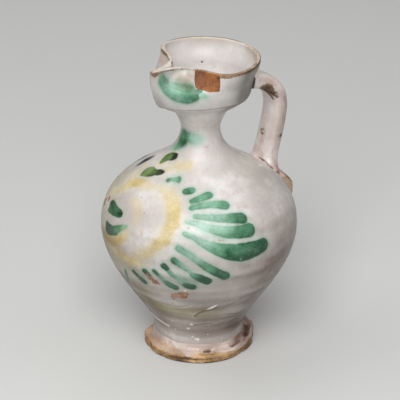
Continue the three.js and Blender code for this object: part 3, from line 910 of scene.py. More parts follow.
def glazedBody():
    throw, profile = bodyThrow, bodyProfile(bodyThrow)
    outline = bpy.data.meshes.new("bodyProfile")
    outline.from_pydata((profile * [0.001, 1, 0.001]).tolist(), [], [])
    holder = show("bodyProfile", outline)
    mesh = runTree("thrownBody", makeTurnedPot(), {
        "Profile": holder, "Rows": len(profile), "Columns": throw["columns"],
        "Ridge Height": throw["ridgeHeight"] * 2 / 1000, "Ridge Pitch": throw["ridgePitch"] / 1000,
        "Wobble": throw["wobble"] / 1000, "Seed": float(throw["seed"]), "Grains": float(throw["grains"]),
        "Grain Size": throw["grainSize"] / 1000, "Grain Seed": throw["grainSeed"], "Glaze": bodyGlaze,
    })
    bpy.data.objects.remove(holder)
    points = np.empty(len(mesh.vertices) * 3, np.float32)
    mesh.vertices.foreach_get("co", points)
    points = points.reshape(-1, 3).astype(float) * 1000
    outer = np.hypot(points[:, 0], points[:, 1]) > radiusAt(outerCurve, points[:, 2]) - 2.5
    points = insideBox(leaned(points))
    mesh.vertices.foreach_set("co", (points / 1000).astype(np.float32).ravel())
    grain = np.empty(len(points), np.float32)
    mesh.attributes["grain"].data.foreach_get("value", grain)
    mesh.attributes.remove(mesh.attributes["grain"])
    fields = bodyTones(points)
    for label, tables in bodyPaint.items():
        reach, load = laidOn(points, *tables)
        # the glaze beads get the glint colour too, and painted highlights are kept out of the painted shade
        if label == "white":
            reach = np.where(grain > 0.5, 3.0, reach)
            fields["shade"] *= 1 - 0.85 * smoothStep(-1.2, 0.2, reach)
        fields[label + "Reach"] = np.where(outer, reach, untouched)
        if label not in ("chip", "seam", "white"):
            fields[label + "Load"] = load
    finishPiece(mesh, fields, "tin_glaze", "body_globe", "neck_funnel")


glazedBody()


# The mouth: a collar pinched between two fingers into a closed beak

mouthPinch = {
    "beakTurn": 4.5,
    "beakReach": 60,
    "beakWidth": 9,
    "throatReach": 37,
    "pressDepth": 20.2,
    "pressHeight": 22,
    "pressShape": [(19, 0.95), (33, 1), (48, 0.93), (61, 0.66), (72, 0.32), (81, 0.08)],
    "columns": 480,
    "crowding": 1.25,       # how much closer the columns stand towards the beak
    "rows": 44,
    "lipRound": 1.5,
}


def centripetal(points, count=40):
    # a centripetal Catmull-Rom curve through the points
    ends = np.vstack([2 * points[0] - points[1], points, 2 * points[-1] - points[-2]])
    t = np.linspace(0, 1, count, endpoint=False)[:, None]
    out = []
    for i in range(1, len(ends) - 2):
        p0, p1, p2, p3 = ends[i - 1:i + 3]
        d0, d1, d2 = (max(np.linalg.norm(b - a) ** 0.5, 1e-4) for a, b in ((p0, p1), (p1, p2), (p2, p3)))
        m1 = ((p1 - p0) / d0 - (p2 - p0) / (d0 + d1) + (p2 - p1) / d1) * d1
        m2 = ((p2 - p1) / d1 - (p3 - p1) / (d1 + d2) + (p3 - p2) / d2) * d1
        out.append(p1 + m1 * t + (3 * (p2 - p1) - 2 * m1 - m2) * t ** 2 + (2 * (p1 - p2) + m1 + m2) * t ** 3)
    return np.vstack(out + [points[-1:]])


def rimHalf(offset, start):
    # half of the rim from the beak to the back, moved sideways off the wall's middle
    middleRadius = pot["rim"][0] - pot["collarWall"] / 2
    turns, presses = np.array(mouthPinch["pressShape"], float).T
    pressed = polar(middleRadius - mouthPinch["pressDepth"] * presses, turns)
    middle = np.vstack([[(mouthPinch["throatReach"], 0)], pressed])
    run = np.vstack([middle[1] - middle[0], middle[2:] - middle[:-2], middle[-1] - middle[-2]])
    run /= np.linalg.norm(run, axis=1)[:, None]
    moved = middle + offset * np.column_stack([run[:, 1], -run[:, 0]])
    return centripetal(np.vstack([start, moved[1:], polar(middleRadius + offset, np.arange(100, 181, 20))]))


def collarRing(rimPath, radius, keel, z):
    # a loop between the round collar, drawn to its keel, and the pinched rim
    half = mouthPinch["columns"] // 2
    shares = (np.arange(half + 1) / half) ** mouthPinch["crowding"]
    arc = np.linspace(math.degrees(math.acos(min(radius / keel, 1))), 180, 300)
    low, high = placesAt(np.vstack([[(keel, 0)], polar(radius, arc)]), shares), placesAt(rimPath, shares)
    ring = low + (high - low) * smoothStep(rimZ - mouthPinch["pressHeight"], rimZ, z)
    ring[0, 1] = ring[-1, 1] = 0
    ring = np.vstack([ring, ring[1:-1][::-1] * [1, -1]])
    return np.column_stack([ring, np.full(len(ring), z)])


cupGlaze = glazedMaterial(
    "tinGlazeMouth",
    {"Pale": (227, 224, 221), "Cloud": (202, 196, 193), "Pinholes": 0.6, "Blush": (206, 184, 170)},
    [
        paint("green", greenPaint, Edge=1.5, Waver=0.7, Halo=0.45),
        paint("olive", olivePaint, Edge=2.2, Waver=0.8, Halo=0.1, Opacity=0.5),
        paint("tan", pigment((216, 194, 182), (196, 168, 154), (168, 138, 124)),
              Load=0.4, Edge=2.5, Waver=0.8, Halo=0.2, Opacity=0.6),
        paint("stain", pigment((212, 196, 172), (196, 172, 140), (168, 136, 104)),
              Load=0.5, Edge=1.8, Waver=0.8, Halo=0.15, Opacity=0.5),
        paint("edge", pigment((182, 158, 134), (124, 94, 70), (72, 52, 40)), 0.8,
              Load=0.55, Edge=0.6, Waver=0.4, Halo=0.25, Bleed=1.6, Opacity=0.9),
        paint("spot", seamPaint, 1.2, Load=0.62, Edge=0.5, Waver=0.2, Halo=0),
    ],
    [
        clay("lip", 3, 0.5, (184, 162, 138), (148, 120, 94), grime=0.5),
        clay("patch", 1.6, 0.2, (174, 110, 54), (134, 80, 38), (92, 56, 38), 0.7),
        clay("pit", 1.6, 0.6, (104, 66, 40), (72, 46, 30), (50, 34, 26), 0.5),
    ],
    shade=(128, 124, 118),
)

cupGreen = strokes(
    ([(47.6, 10.7, 287), (46.9, 11.9, 281.6), (44.9, 15.3, 275.2), (41.7, 20, 270.4), (36.8, 25.5, 268.4),
     (31.5, 32, 269.4), (27.4, 35.4, 272), (24.8, 36.2, 275.2)], [6, 9, 10, 11.5, 12, 12.5, 11.5, 7],
     [0.34, 0.42, 0.38, 0.26, 0.26, 0.5, 0.9, 1.1], 0.12),
    ([(42.4, 16.8, 280), (38.7, 20.6, 277.5), (33.9, 26, 276.6), (29.8, 31, 275.6)], [5, 9, 10, 9],
     [0.1, 0.34, 0.56, 0.8]),
    ([(25.1, 36.7, 271.8), (19.7, 41.4, 269.8)], [7, 3], [0.05, -0.1]),
)
cupOlive = strokes(
    ([(33.6, 19.2, 282.1), (31.9, 23.1, 279.6), (29.5, 27.4, 278.1)], [7, 9, 8], [0.3, 0.45, 0.3]),
)
# the beak's far cheek, rubbed to a pinkish tan
cupTan = strokes(
    ([(19, -31, 282), (23, -22, 284.5), (27, -12.5, 286.5), (31.5, -2, 287.5)], [9, 10, 9, 5]),
)
cupStain = strokes(
    ([(29.7, 16.7, 287), (31.1, 20.3, 282.8)], [2.4, 3.4]),
    ([(33.4, 12, 288.5), (28.2, 15.5, 288)], [1.5, 1.5]),
    # a curl of brown down from the lip, and the tan stain under the beak's tip
    ([(28.1, 15.8, 287.7), (28.3, 17, 285.7), (28.6, 19, 283.6), (28.7, 21.5, 281.6), (27.1, 22.3, 282.5),
     (25.4, 21.4, 284.7), (25, 19.3, 286.7)], [2, 1.6, 1.6, 1.4, 1.4, 1.6, 2]),
    ([(56.2, 7.5, 288.4), (54.7, 9.4, 288.1), (52.3, 10.6, 288.2), (49.9, 10.9, 288.8)], [4, 6, 5.4, 2.6]),
    # pale tan above the loop of green
    ([(31.8, 16.4, 284.6), (28.2, 19.8, 284.2), (23.6, 24.8, 284.8)], [5, 7.5, 5]),
)


def onRim(azimuth, inset):
    return tuple((pot["rim"][0] - inset) * compass(azimuth) + [*pot["lean"], 289.7])


# thin brown lines where the lip's edges are rubbed
cupEdges = strokes(
    ([(16.6, -37, 288.5), (18.7, -31.3, 289), (21.3, -22.1, 289.5), (24.4, -13.7, 290), (26.5, -4.9, 290),
     (28.5, -0.3, 290), (32.5, 6.8, 290), (35.3, 11.6, 289.9)], [2.4, 3, 2.8, 1.6, 1.6, 2, 2.6, 2]),
    ([(33.1, 9.8, 290), (32.4, 11.1, 290), (28.4, 13.2, 290), (25.3, 16.5, 290), (22.3, 20, 290),
     (19.7, 24.1, 290), (16, 31.3, 289.7)], [1, 0.9, 0.9, 1.3, 1, 1.2, 1.6]),
    ([(56, 6.5, 290), (53.9, 4.9, 290), (50.6, 3.7, 290), (44.8, 2.9, 290), (41.5, 4, 290),
     (38.6, 5.1, 290)], [1.6, 1.6, 1.2, 1, 0.8, 0.6]),
    ([(55.8, 8.4, 288.9), (54.2, 9.8, 288.6), (52, 10.5, 288.7)], [3, 4.4, 2.6]),
    ([(55.9, 8, 289.9), (53.8, 9.7, 290), (49.5, 10.1, 290), (45.2, 9.4, 290), (40.1, 9.8, 290),
     (36.7, 11.2, 289.6)], [1.6, 2.2, 2.6, 1.4, 1, 0.8]),
    ([onRim(a, 1) for a in (-172, -150, -128, -106, -84, -66)], [1.6, 2.4, 1.8, 2.5, 1.7, 2.2]),
    ([onRim(a, 0.1) for a in (84, 100, 116, 132, 150, 170)], [1.4, 2, 1.4, 1.6, 0.9, 0.6]),
    ([onRim(a, 4) for a in (74, 94, 114, 134, 156, 178)], [0.9, 1.2, 0.7, 1, 0.8, 0.5]),
)
cupSpots = strokes(
    ([(-26.1, -33, 268)], [2]),
    ([(52.6, 9.6, 290), (51, 9.9, 290)], [2.6, 2]),
    ([(14.6, 34.8, 289.4)], [1.6]),
    ([(12.6, 43.6, 288.2)], [1.8]),
    ([(3, 46.6, 288.6)], [1.4]),
    ([(28.4, 14.4, 290)], [1.8]),
)
# soil left in the pits of the bared clay
cupPits = strokes(
    ([(9.7, 44.5, 286.7)], [2.6]),
    ([(22, 38.6, 286.9)], [1.6]),
    ([(27, 34.6, 281), (26.4, 35, 279.4)], [0.8, 0.6]),
    ([(15, 43, 280.4)], [0.9]),
)
# the flake of glaze gone below the rim, as azimuth and height
flake = [(49.2, 290.6), (49, 283.5), (50.2, 279.4), (52.2, 276.6), (60.6, 275.9), (65.9, 274.2),
         (78.2, 274.4), (79.4, 283.6), (79.6, 291), (67.7, 291), (57.2, 291)]
flakeMiddle, flakeRadius = 64, 45
# how far the lip is rubbed through, and how wide the brown stain beside it runs, by azimuth
lipWear = [(-180, -0.6, 0.8), (-150, -0.2, 0.8), (-110, -0.8, 0.4), (-66, 0, 1), (-50, -0.6, 0.8),
           (-30, -1.4, 0.2), (0, -1.6, 0), (8, -0.6, 0.8), (20, -1.4, 0), (40, -1.2, 0.2), (50, 0.5, 1),
           (80, 3.3, 2.2), (92, 2.9, 2.6), (104, 2.2, 2.8), (120, 1.2, 3.2), (140, 0.3, 3.4),
           (165, -0.3, 2.4), (180, -0.6, 0.8)]


def mouthCup():
    wall, soft, columns = pot["collarWall"], mouthPinch["lipRound"], mouthPinch["columns"]
    beak, width, throat = (mouthPinch[key] for key in ("beakReach", "beakWidth", "throatReach"))
    outerRim = rimHalf(wall / 2, [
        (beak, 0), (beak - 0.12 * width, 0.33 * width), (beak - width / 2, width / 2),
        (throat + 1.7 * wall, 0.54 * width)])
    innerRim = rimHalf(-wall / 2, [(throat - wall / 2, 0)])
    levels = np.linspace(ridgeZ, rimZ - soft, mouthPinch["rows"])
    outer, inner = [], []
    for z in levels:
        radius, keel = radiusAt(collarCurve, z), radiusAt(keelCurve, z)
        outer.append(collarRing(outerRim, radius, keel, z))
        inner.append(collarRing(innerRim, radius - wall, max(keel - width, radius - wall + 0.01), z))
        # nipped where it sits on the funnel
        nip = bodyThrow["nip"] * np.clip(1 - (z - ridgeZ) / bodyThrow["nipLength"], 0, 1) ** 2
        outer[-1][:, :2] *= 1 - nip / np.linalg.norm(outer[-1][:, :2], axis=1)[:, None]
    topOuter = collarRing(outerRim, pot["rim"][0], beak, rimZ)
    topInner = collarRing(innerRim, pot["rim"][0] - wall, beak - width, rimZ)
    # a rounded lip: a few loops across the wall's top, tight at both edges
    across = topInner - topOuter
    thick = np.linalg.norm(across, axis=1)[:, None]
    across /= np.maximum(thick, 1e-6)

    def lipLoop(start, way, turn):
        step = np.minimum(soft * (1 - math.cos(turn)), thick * 0.45)
        return start + way * step - [0, 0, soft * (1 - math.sin(turn))]

    turns = np.radians([25, 50, 72])
    outer += [lipLoop(topOuter, across, turn) for turn in turns]
    middle = [topOuter + across * (soft + (thick - 2 * soft).clip(0) * t) for t in (0, 0.33, 0.67, 1)]
    inner += [lipLoop(topInner, -across, turn) for turn in turns]
    points = np.vstack(outer + middle + inner[::-1])
    faces = quadGrid(len(points) // columns + 1, columns) % len(points)
    height = points[:, 2]
    turn = math.radians(mouthPinch["beakTurn"])
    spin = np.array([[math.cos(turn), math.sin(turn)], [-math.sin(turn), math.cos(turn)]])
    placed = insideBox(leaned(np.column_stack([points[:, :2] @ spin, height])))
    isOuter = np.arange(len(points)) < len(outer) * columns
    azimuth, level = azimuthOf(placed), placed[:, 2]

    def flat(azimuth, z):
        return np.radians(azimuth - flakeMiddle) * flakeRadius, z

    corners = [flat(*corner) for corner in flake]
    patch = np.where(isOuter & (np.abs(azimuth - flakeMiddle) < 60),
                     polygonField(*flat(azimuth, level), corners), untouched)
    # the lip is rubbed through to the clay on its edges, and stained a little below
    below = rimZ - level
    worn = np.array(lipWear)
    wear = np.interp(azimuth, worn[:, 0], worn[:, 1]) + 0.8 * softNoise(placed, 12, 5)
    stain = np.interp(azimuth, worn[:, 0], worn[:, 2]) + 0.9 * softNoise(placed, 20, 6)
    aside = np.abs(turnFrom(azimuth, 43))
    right = smoothStep(104, 52, np.abs(turnFrom(azimuth, 78)))
    # painted shade: darker on the right side and low on the cup, on the far left, in the pinch below the lip
    # and along the crease above the neck, and taken off the beak's far cheek
    shade = 0.1 + 0.3 * smoothStep(274, 258, level) + 0.2 * smoothStep(22, 64, aside)
    shade += 0.48 * right * window(aside, 47, 72, 128, 84)
    shade *= 0.35 + 0.65 * right
    shade += 0.3 * window(azimuth, 26, 6, -70, -30)
    shade += 0.4 * window(azimuth, 10, 18, 58, 48) * smoothStep(272, 282, level)
    shade += 0.4 * smoothStep(ridgeZ + 1.7, ridgeZ + 0.4, height)
    shade *= 1 - 0.9 * window(azimuth, -82, -68, -6, -18) * smoothStep(273, 280, level)
    shade *= isOuter * (1 + 0.1 * softNoise(placed, 24, 7))
    fields = {"patchReach": patch, "lipReach": wear - below * 1.15, "shade": np.clip(shade, 0, 0.95)}
    for label, table in (("green", cupGreen), ("olive", cupOlive), ("tan", cupTan), ("stain", cupStain),
                         ("pit", cupPits), ("spot", cupSpots), ("edge", cupEdges)):
        reach, load = paintField(placed, table)
        if label in ("green", "olive", "tan"):
            reach = np.where(isOuter, reach, untouched)
        fields[label + "Reach"] = reach
        if label in ("green", "olive"):
            fields[label + "Load"] = load
    fields["stainReach"] = np.maximum(stain - below * np.where(isOuter, 1.3, 0.6), fields["stainReach"])
    finishPiece(makeMesh("mouthCup", placed, faces.tolist(), cupGlaze), fields, "tin_glaze", "mouth_collar")


mouthCup()


# The handle: a pulled strap, luted behind the mouth and on the shoulder

strapPull = {
    "width": 25,
    "topThickness": 14.4,
    "footThickness": 16,
    "rings": 290,
    "sectionPoints": 150,
    "squareness": 3.6,
    "rootFlare": 4, "rootFlareLength": 9,
    "footFlare": 16, "footFlareLength": 17,
    "rootHeight": 256, "reachHeight": 224, "landingHeight": 164,
    "reach": 84.9,
    "sunk": 2.2,               # into the wall at both ends
}

# the strap's glaze is paler than the body's: painted light for light its faces miss
strapGlaze = glazedMaterial(
    "tinGlazeStrap",
    {"Pale": (250, 246, 243), "Cloud": (226, 214, 209), "Pinholes": 0.8},
    [
        paint("flush", pigment((206, 180, 168), (190, 150, 134), (160, 108, 88)),
              Edge=2.6, Halo=0, Opacity=0.6),
        paint("seam", pigment((184, 144, 124), (124, 84, 66), (62, 42, 34)), 1.6,
              Load=0.62, Edge=0.7, Waver=0.4, Halo=0.3, Bleed=2.5),
        paint("root", pigment((150, 116, 98), (84, 52, 38), (36, 22, 16)), 1.6,
              Load=1, Edge=0.7, Waver=0.3, Halo=0.3, Bleed=2),
    ],
    [clay("bare", 6, 1.2, (156, 128, 106), (114, 86, 68), (64, 48, 38), 0.65)],
    shade=(176, 162, 152),
)
strapBare = strokes(
    # worn to the clay under the bend, in streaks that fan out
    ([(-61.8, 13, 250.6), (-66, 13.6, 250.8), (-70.4, 13.6, 248.8), (-74.4, 13.5, 245.2)],
     [2.6, 5, 5, 2.4]),
    ([(-61.6, 12, 248.6), (-66.4, 12.9, 247.2), (-71.5, 13.2, 244.6), (-77.7, 13.3, 240.6)],
     [3, 6, 5, 2.2]),
    ([(-66.4, 10.5, 245.2), (-72.5, 11.8, 241.8), (-79, 12.8, 236.6)], [4, 5.6, 3]),
    ([(-66.5, 8.8, 244), (-72.5, 8.5, 239.6), (-77, 9, 234)], [4, 5, 2.6]),
    ([(-84.7, 12.6, 195.4)], [3.4]),
)
# dark streaks under the bend, laid into the painted shade
strapStreaks = strokes(
    ([(-60.6, 12.9, 249.6), (-66.4, 13.2, 249), (-71, 13.4, 247)], [3, 3.4, 1]),
    ([(-62.6, 10.8, 247), (-68.4, 11, 244.6), (-76, 12.6, 240)], [3, 2.6, 1]),
    ([(-65.4, 8, 244.6), (-70, 7.6, 241.2), (-74.6, 8.4, 236.6)], [2.6, 2.4, 0.8]),
)
# the dark gap where the strap meets the mouth
strapRoot = strokes(
    ([(-52.9, 13.2, 261.6), (-51.8, 13.6, 257.6), (-50.8, 13.4, 252.6), (-51, 10, 248.6)],
     [1.8, 3.4, 4.4, 3.4]),
)
strapSeams = strokes(
    ([(-66.5, 0, 173.4), (-67.7, 6, 172.8), (-67.7, 12.5, 171.8), (-71.5, 19, 166.6)], [1, 1.8, 1.6, 1]),
    # a burst bubble, left as a ring
    ([(-74.3, -2.8, 199), (-74.1, -0.6, 199.2), (-73.8, 0.5, 197.2), (-73.2, -0.8, 195.4),
     (-73.4, -3.2, 195.7), (-73.8, -4.4, 197.2), (-74.3, -4.2, 198.4), (-74.3, -2.8, 199)],
     [1.4, 1.7, 1.6, 2, 1.6, 1.4, 1.8, 1.4]),
)
strapFlush = strokes(
    ([(-60, 12, 258), (-66, 13.4, 256), (-73, 13.6, 252), (-77, 13.6, 248.6)], [3, 4, 5, 3],
     [0.1, 0.3, 0.5, 0.2]),
    ([(-87.5, 13.1, 233.5), (-90.5, 12.6, 226.1), (-91.5, 11.6, 218)], [2, 4, 2], [0.6, 0.3]),
    ([(-69.5, -7.9, 178.8), (-68.2, -1.8, 178.1), (-67.8, 4.3, 177)], [7, 9, 6], [0.2, 0.1]),
    ([(-75.6, 14.8, 174.3), (-76.4, 17.5, 168.7), (-77.3, 19.8, 164.2)], [2, 4, 5], [0.4, 0.7, 0.9]),
    ([(-73.5, -2, 208), (-72, 0, 188)], [4, 5], [0.05, 0.15]),
)


def strapPath(pull):
    # side view of the strap's middle: out from the collar, over the bend, down to the shoulder
    rootZ, reachZ, landingZ = (pull[key] for key in ("rootHeight", "reachHeight", "landingHeight"))
    out = pull["reach"]
    rootX = -(radiusAt(collarCurve, rootZ) - pot["collarWall"])
    landingX = -(radiusAt(shoulderCurve, landingZ) - pot["bodyWall"] / 2)
    top = bezier((rootX, rootZ), (rootX - 24, rootZ - 1), (-out, reachZ + 19), (-out, reachZ), 200)
    shank = bezier((-out, reachZ), (-out, reachZ - 15), (landingX - 5.5, landingZ + 25),
                   (landingX, landingZ), 200)
    return np.vstack([top, shank[1:]])


def pulledStrap(pull):
    path = strapPath(pull)
    length = runAlong(path)[-1]
    shares = np.linspace(0, 1, pull["rings"])
    centre = placesAt(path, shares)
    way = np.gradient(centre, axis=0)
    way /= np.linalg.norm(way, axis=1)[:, None]
    outward = np.column_stack([way[:, 1], -way[:, 0]])
    fromRoot = np.clip(1 - shares * length / pull["rootFlareLength"], 0, 1) ** 2
    fromFoot = np.clip(1 - (1 - shares) * length / pull["footFlareLength"], 0, 1) ** 2
    width = pull["width"] + pull["rootFlare"] * fromRoot + pull["footFlare"] * fromFoot
    thick = pull["topThickness"] + (pull["footThickness"] - pull["topThickness"]) * shares
    thick = thick + pull["rootFlare"] * fromRoot
    angle = np.linspace(0, 2 * math.pi, pull["sectionPoints"], endpoint=False)
    waves = np.cos(angle), np.sin(angle)
    across, out = (np.sign(wave) * np.abs(wave) ** (2 / pull["squareness"]) for wave in waves)
    rings = [np.column_stack([centre[k, 0] + outward[k, 0] * out * thick[k] / 2, across * width[k] / 2,
                              centre[k, 1] + outward[k, 1] * out * thick[k] / 2]) for k in range(len(shares))]
    poles = np.insert(centre[[0, -1]], 1, 0, axis=1)
    points = leaned(np.vstack([poles[:1], *rings, poles[1:]]))
    points += 0.35 * softNoise(points, 22, 3)[:, None] * np.array([0.5, 1, 0.2])
    # both ends are spread on the wall that carries them, never through it
    level = points[:, 2]
    wallRadius = np.where(level < 257, radiusAt(outerCurve, level), radiusAt(collarCurve, level))
    away = points[:, :2] - np.column_stack(drift(level))
    radius = np.maximum(np.linalg.norm(away, axis=1), 1e-6)
    points[:, :2] += away / radius[:, None] * np.maximum(wallRadius - pull["sunk"] - radius, 0)[:, None]
    points = insideBox(points)
    fields = {}
    tables = {"bare": strapBare, "seam": strapSeams, "root": strapRoot, "flush": strapFlush}
    for label, table in tables.items():
        fields[label + "Reach"], load = paintField(points, table)
        if label == "flush":
            fields["flushLoad"] = load
    outness, sideness = (np.concatenate([[0], np.tile(part, pull["rings"]), [0]]) for part in (out, across))
    # painted shade on the strap's outer side and side faces below the bend, and in streaks under the bend
    paintedSideShade = 0.46 * smoothStep(-0.8, 0.4, outness) + 0.34 * smoothStep(0.45, 0.95, sideness)
    shade = 0.02 + 0.1 * softNoise(points, 26, 9) + paintedSideShade * smoothStep(250, 234, points[:, 2])
    shade += 0.8 * smoothStep(-1.0, 0.5, paintField(points, strapStreaks)[0])
    fields["shade"] = np.clip(shade, 0, 1)
    mesh = makeMesh("pulledStrap", points, closedSkin(pull["rings"], pull["sectionPoints"]), strapGlaze)
    finishPiece(mesh, fields, "tin_glaze", "handle_strap")


pulledStrap(strapPull)


# The tail: clay thumbed out over the shoulder below the strap, left bare

thumbedTail = {
    "halfWidth": 29,
    "halfHeight": 13.5,
    "proud": 4.8,
    "climb": 26,
    "shift": 3,
    "droop": 8,
    "sunk": 2,
    "rings": 70,
    "sides": 110,
}

# its clay colours are toned down: partly the clay's own colour, partly painted shade on its top under the
# strap
tailClay = glazedMaterial(
    "bareClayTail",
    {"Pale": (214, 200, 190), "Cloud": (198, 178, 168), "Pinholes": 0.4},
    [paint("flush", pigment((206, 182, 168), (180, 146, 126), (142, 104, 84)),
           Load=0.5, Edge=1.8, Waver=0.8, Halo=0, Opacity=0.7)],
    [clay("clay", 4, 0.8, (164, 142, 120), (126, 100, 80), (72, 56, 44), 0.7)],
    depth=0.8,
)


def clayTail(tail):
    tailZ = pot["belly"][1] + tail["climb"]
    skin = pot["bodyWall"] / 2
    radius = radiusAt(shoulderCurve, tailZ)
    slope = math.atan2(radiusAt(shoulderCurve, tailZ - 4) - radiusAt(shoulderCurve, tailZ + 4), 8)
    around = np.linspace(0, 360, tail["sides"], endpoint=False)
    rings = [np.column_stack([polar(math.sin(p), around), np.full(len(around), math.cos(p))])
             for p in np.linspace(0, math.pi, tail["rings"])[1:-1]]
    points = np.vstack([[[0, 0, 1]], *rings, [[0, 0, -1]]])
    points = points * [tail["proud"] + skin, tail["halfWidth"], tail["halfHeight"]]
    points *= (1 + 0.07 * softNoise(points, 16, 8))[:, None]
    x = points[:, 0] * math.cos(slope) - points[:, 2] * math.sin(slope)
    z = points[:, 0] * math.sin(slope) + points[:, 2] * math.cos(slope)
    aside = points[:, 1] / tail["halfWidth"]
    points = np.column_stack([x - (radius - skin), points[:, 1] + tail["shift"],
                              z + tailZ - tail["droop"] * aside * aside])
    away = np.linalg.norm(points[:, :2], axis=1)
    lifted = np.maximum(radiusAt(outerCurve, points[:, 2]) - tail["sunk"] - away, 0)
    points[:, :2] *= (1 + lifted / away)[:, None]
    # thinned where it meets the strap, thumb-worked below
    away = np.linalg.norm(points[:, :2], axis=1)
    proud = np.maximum(away - radiusAt(outerCurve, points[:, 2]), 0)
    pressed = 0.72 * smoothStep(150, 163, points[:, 2]) - 0.1 * softNoise(points, 9, 12)
    points[:, :2] *= (1 - np.clip(pressed, -0.2, 0.9) * proud / away)[:, None]
    points = insideBox(points)
    clayReach = 157.5 + 1.5 * softNoise(points, 14, 13) - points[:, 2]
    mesh = makeMesh("thumbedTail", points, closedSkin(tail["rings"] - 2, tail["sides"]), tailClay)
    fields = {"clayReach": clayReach, "flushReach": 3 - np.abs(clayReach + 2)}
    finishPiece(mesh, fields, "bare_clay", "handle_tail")


clayTail(thumbedTail)


# The foot: a pad of bare clay with an uneven edge that curls up at the back

footPad = {
    "columns": 420,
    # azimuth, edge radius, height of the edge, height of the trough behind it, mm of glaze down from the wall
    "turns": [
        (-180, 51.5, 9.5, 8, 5), (-150, 50.5, 9, 8, 4), (-120, 49, 8, 8.4, 3.5), (-95, 47.5, 7.5, 8.6, 3.5),
        (-70, 46, 7, 8.6, 3), (-50, 46.5, 6.5, 8.6, 2.4), (-42, 50, 6.5, 8.2, 1.6),
        (-34, 52.3, 6.6, 8, 1.6), (-10, 53, 6.8, 8.2, 1.8), (15, 52.7, 7.2, 9, 1.9),
        (33, 52.7, 7.8, 9.6, 2.6), (39, 52.7, 8, 9.8, 7.5), (44, 52.7, 8, 9.8, 13.5),
        (48, 52.7, 8.1, 9.6, 5), (56, 52.7, 8.3, 9.2, 2.6), (61, 52.7, 8.4, 7.2, 2.6),
        (70, 52.7, 8.6, 7.2, 3), (75, 52.7, 8.8, 9.6, 4), (79, 52.7, 8.9, 9.8, 9),
        (86, 52.6, 9.2, 9.8, 12), (94, 52.6, 9.8, 9.4, 12.5), (97, 52.6, 10.2, 6.8, 12.5),
        (114, 52.8, 11.2, 6.8, 13.5), (121, 53, 11.5, 9.4, 12.5), (129, 53, 11.8, 6.8, 13.5),
        (148, 52.4, 11.8, 6.8, 12.5), (160, 52, 11, 7.6, 9), (180, 51.5, 9.5, 8, 5)],
    "edgeLimit": 52.9,         # a hair inside the solid disc
    "soleRadius": 51.3,
    "wallRadius": 43,
    "wallTop": 15.5,
    "troughRadius": 46.9,
    "coveRadius": 42.75,
    "underside": 6.4,
}

footClay = glazedMaterial(
    "bareClayFoot",
    {"Pale": (226, 214, 207), "Cloud": (212, 191, 181), "Pinholes": 0.6},
    [],
    [
        clay("clay", 4, 1.1, (222, 198, 176), (204, 172, 144), (150, 118, 90), 0.25),
        clay("side", 3, 1, (212, 180, 134), (186, 146, 98), (116, 82, 52), 0.4),
        # soil and painted shadow along the ground
        clay("soil", 3, 0.9, (118, 84, 54), (88, 60, 38), (60, 42, 28), 0.5),
        clay("trough", 2.6, 1.2, (118, 88, 60), (86, 62, 42), (52, 38, 28), 0.6),
    ],
    shade=(170, 152, 142), depth=0.7,
)


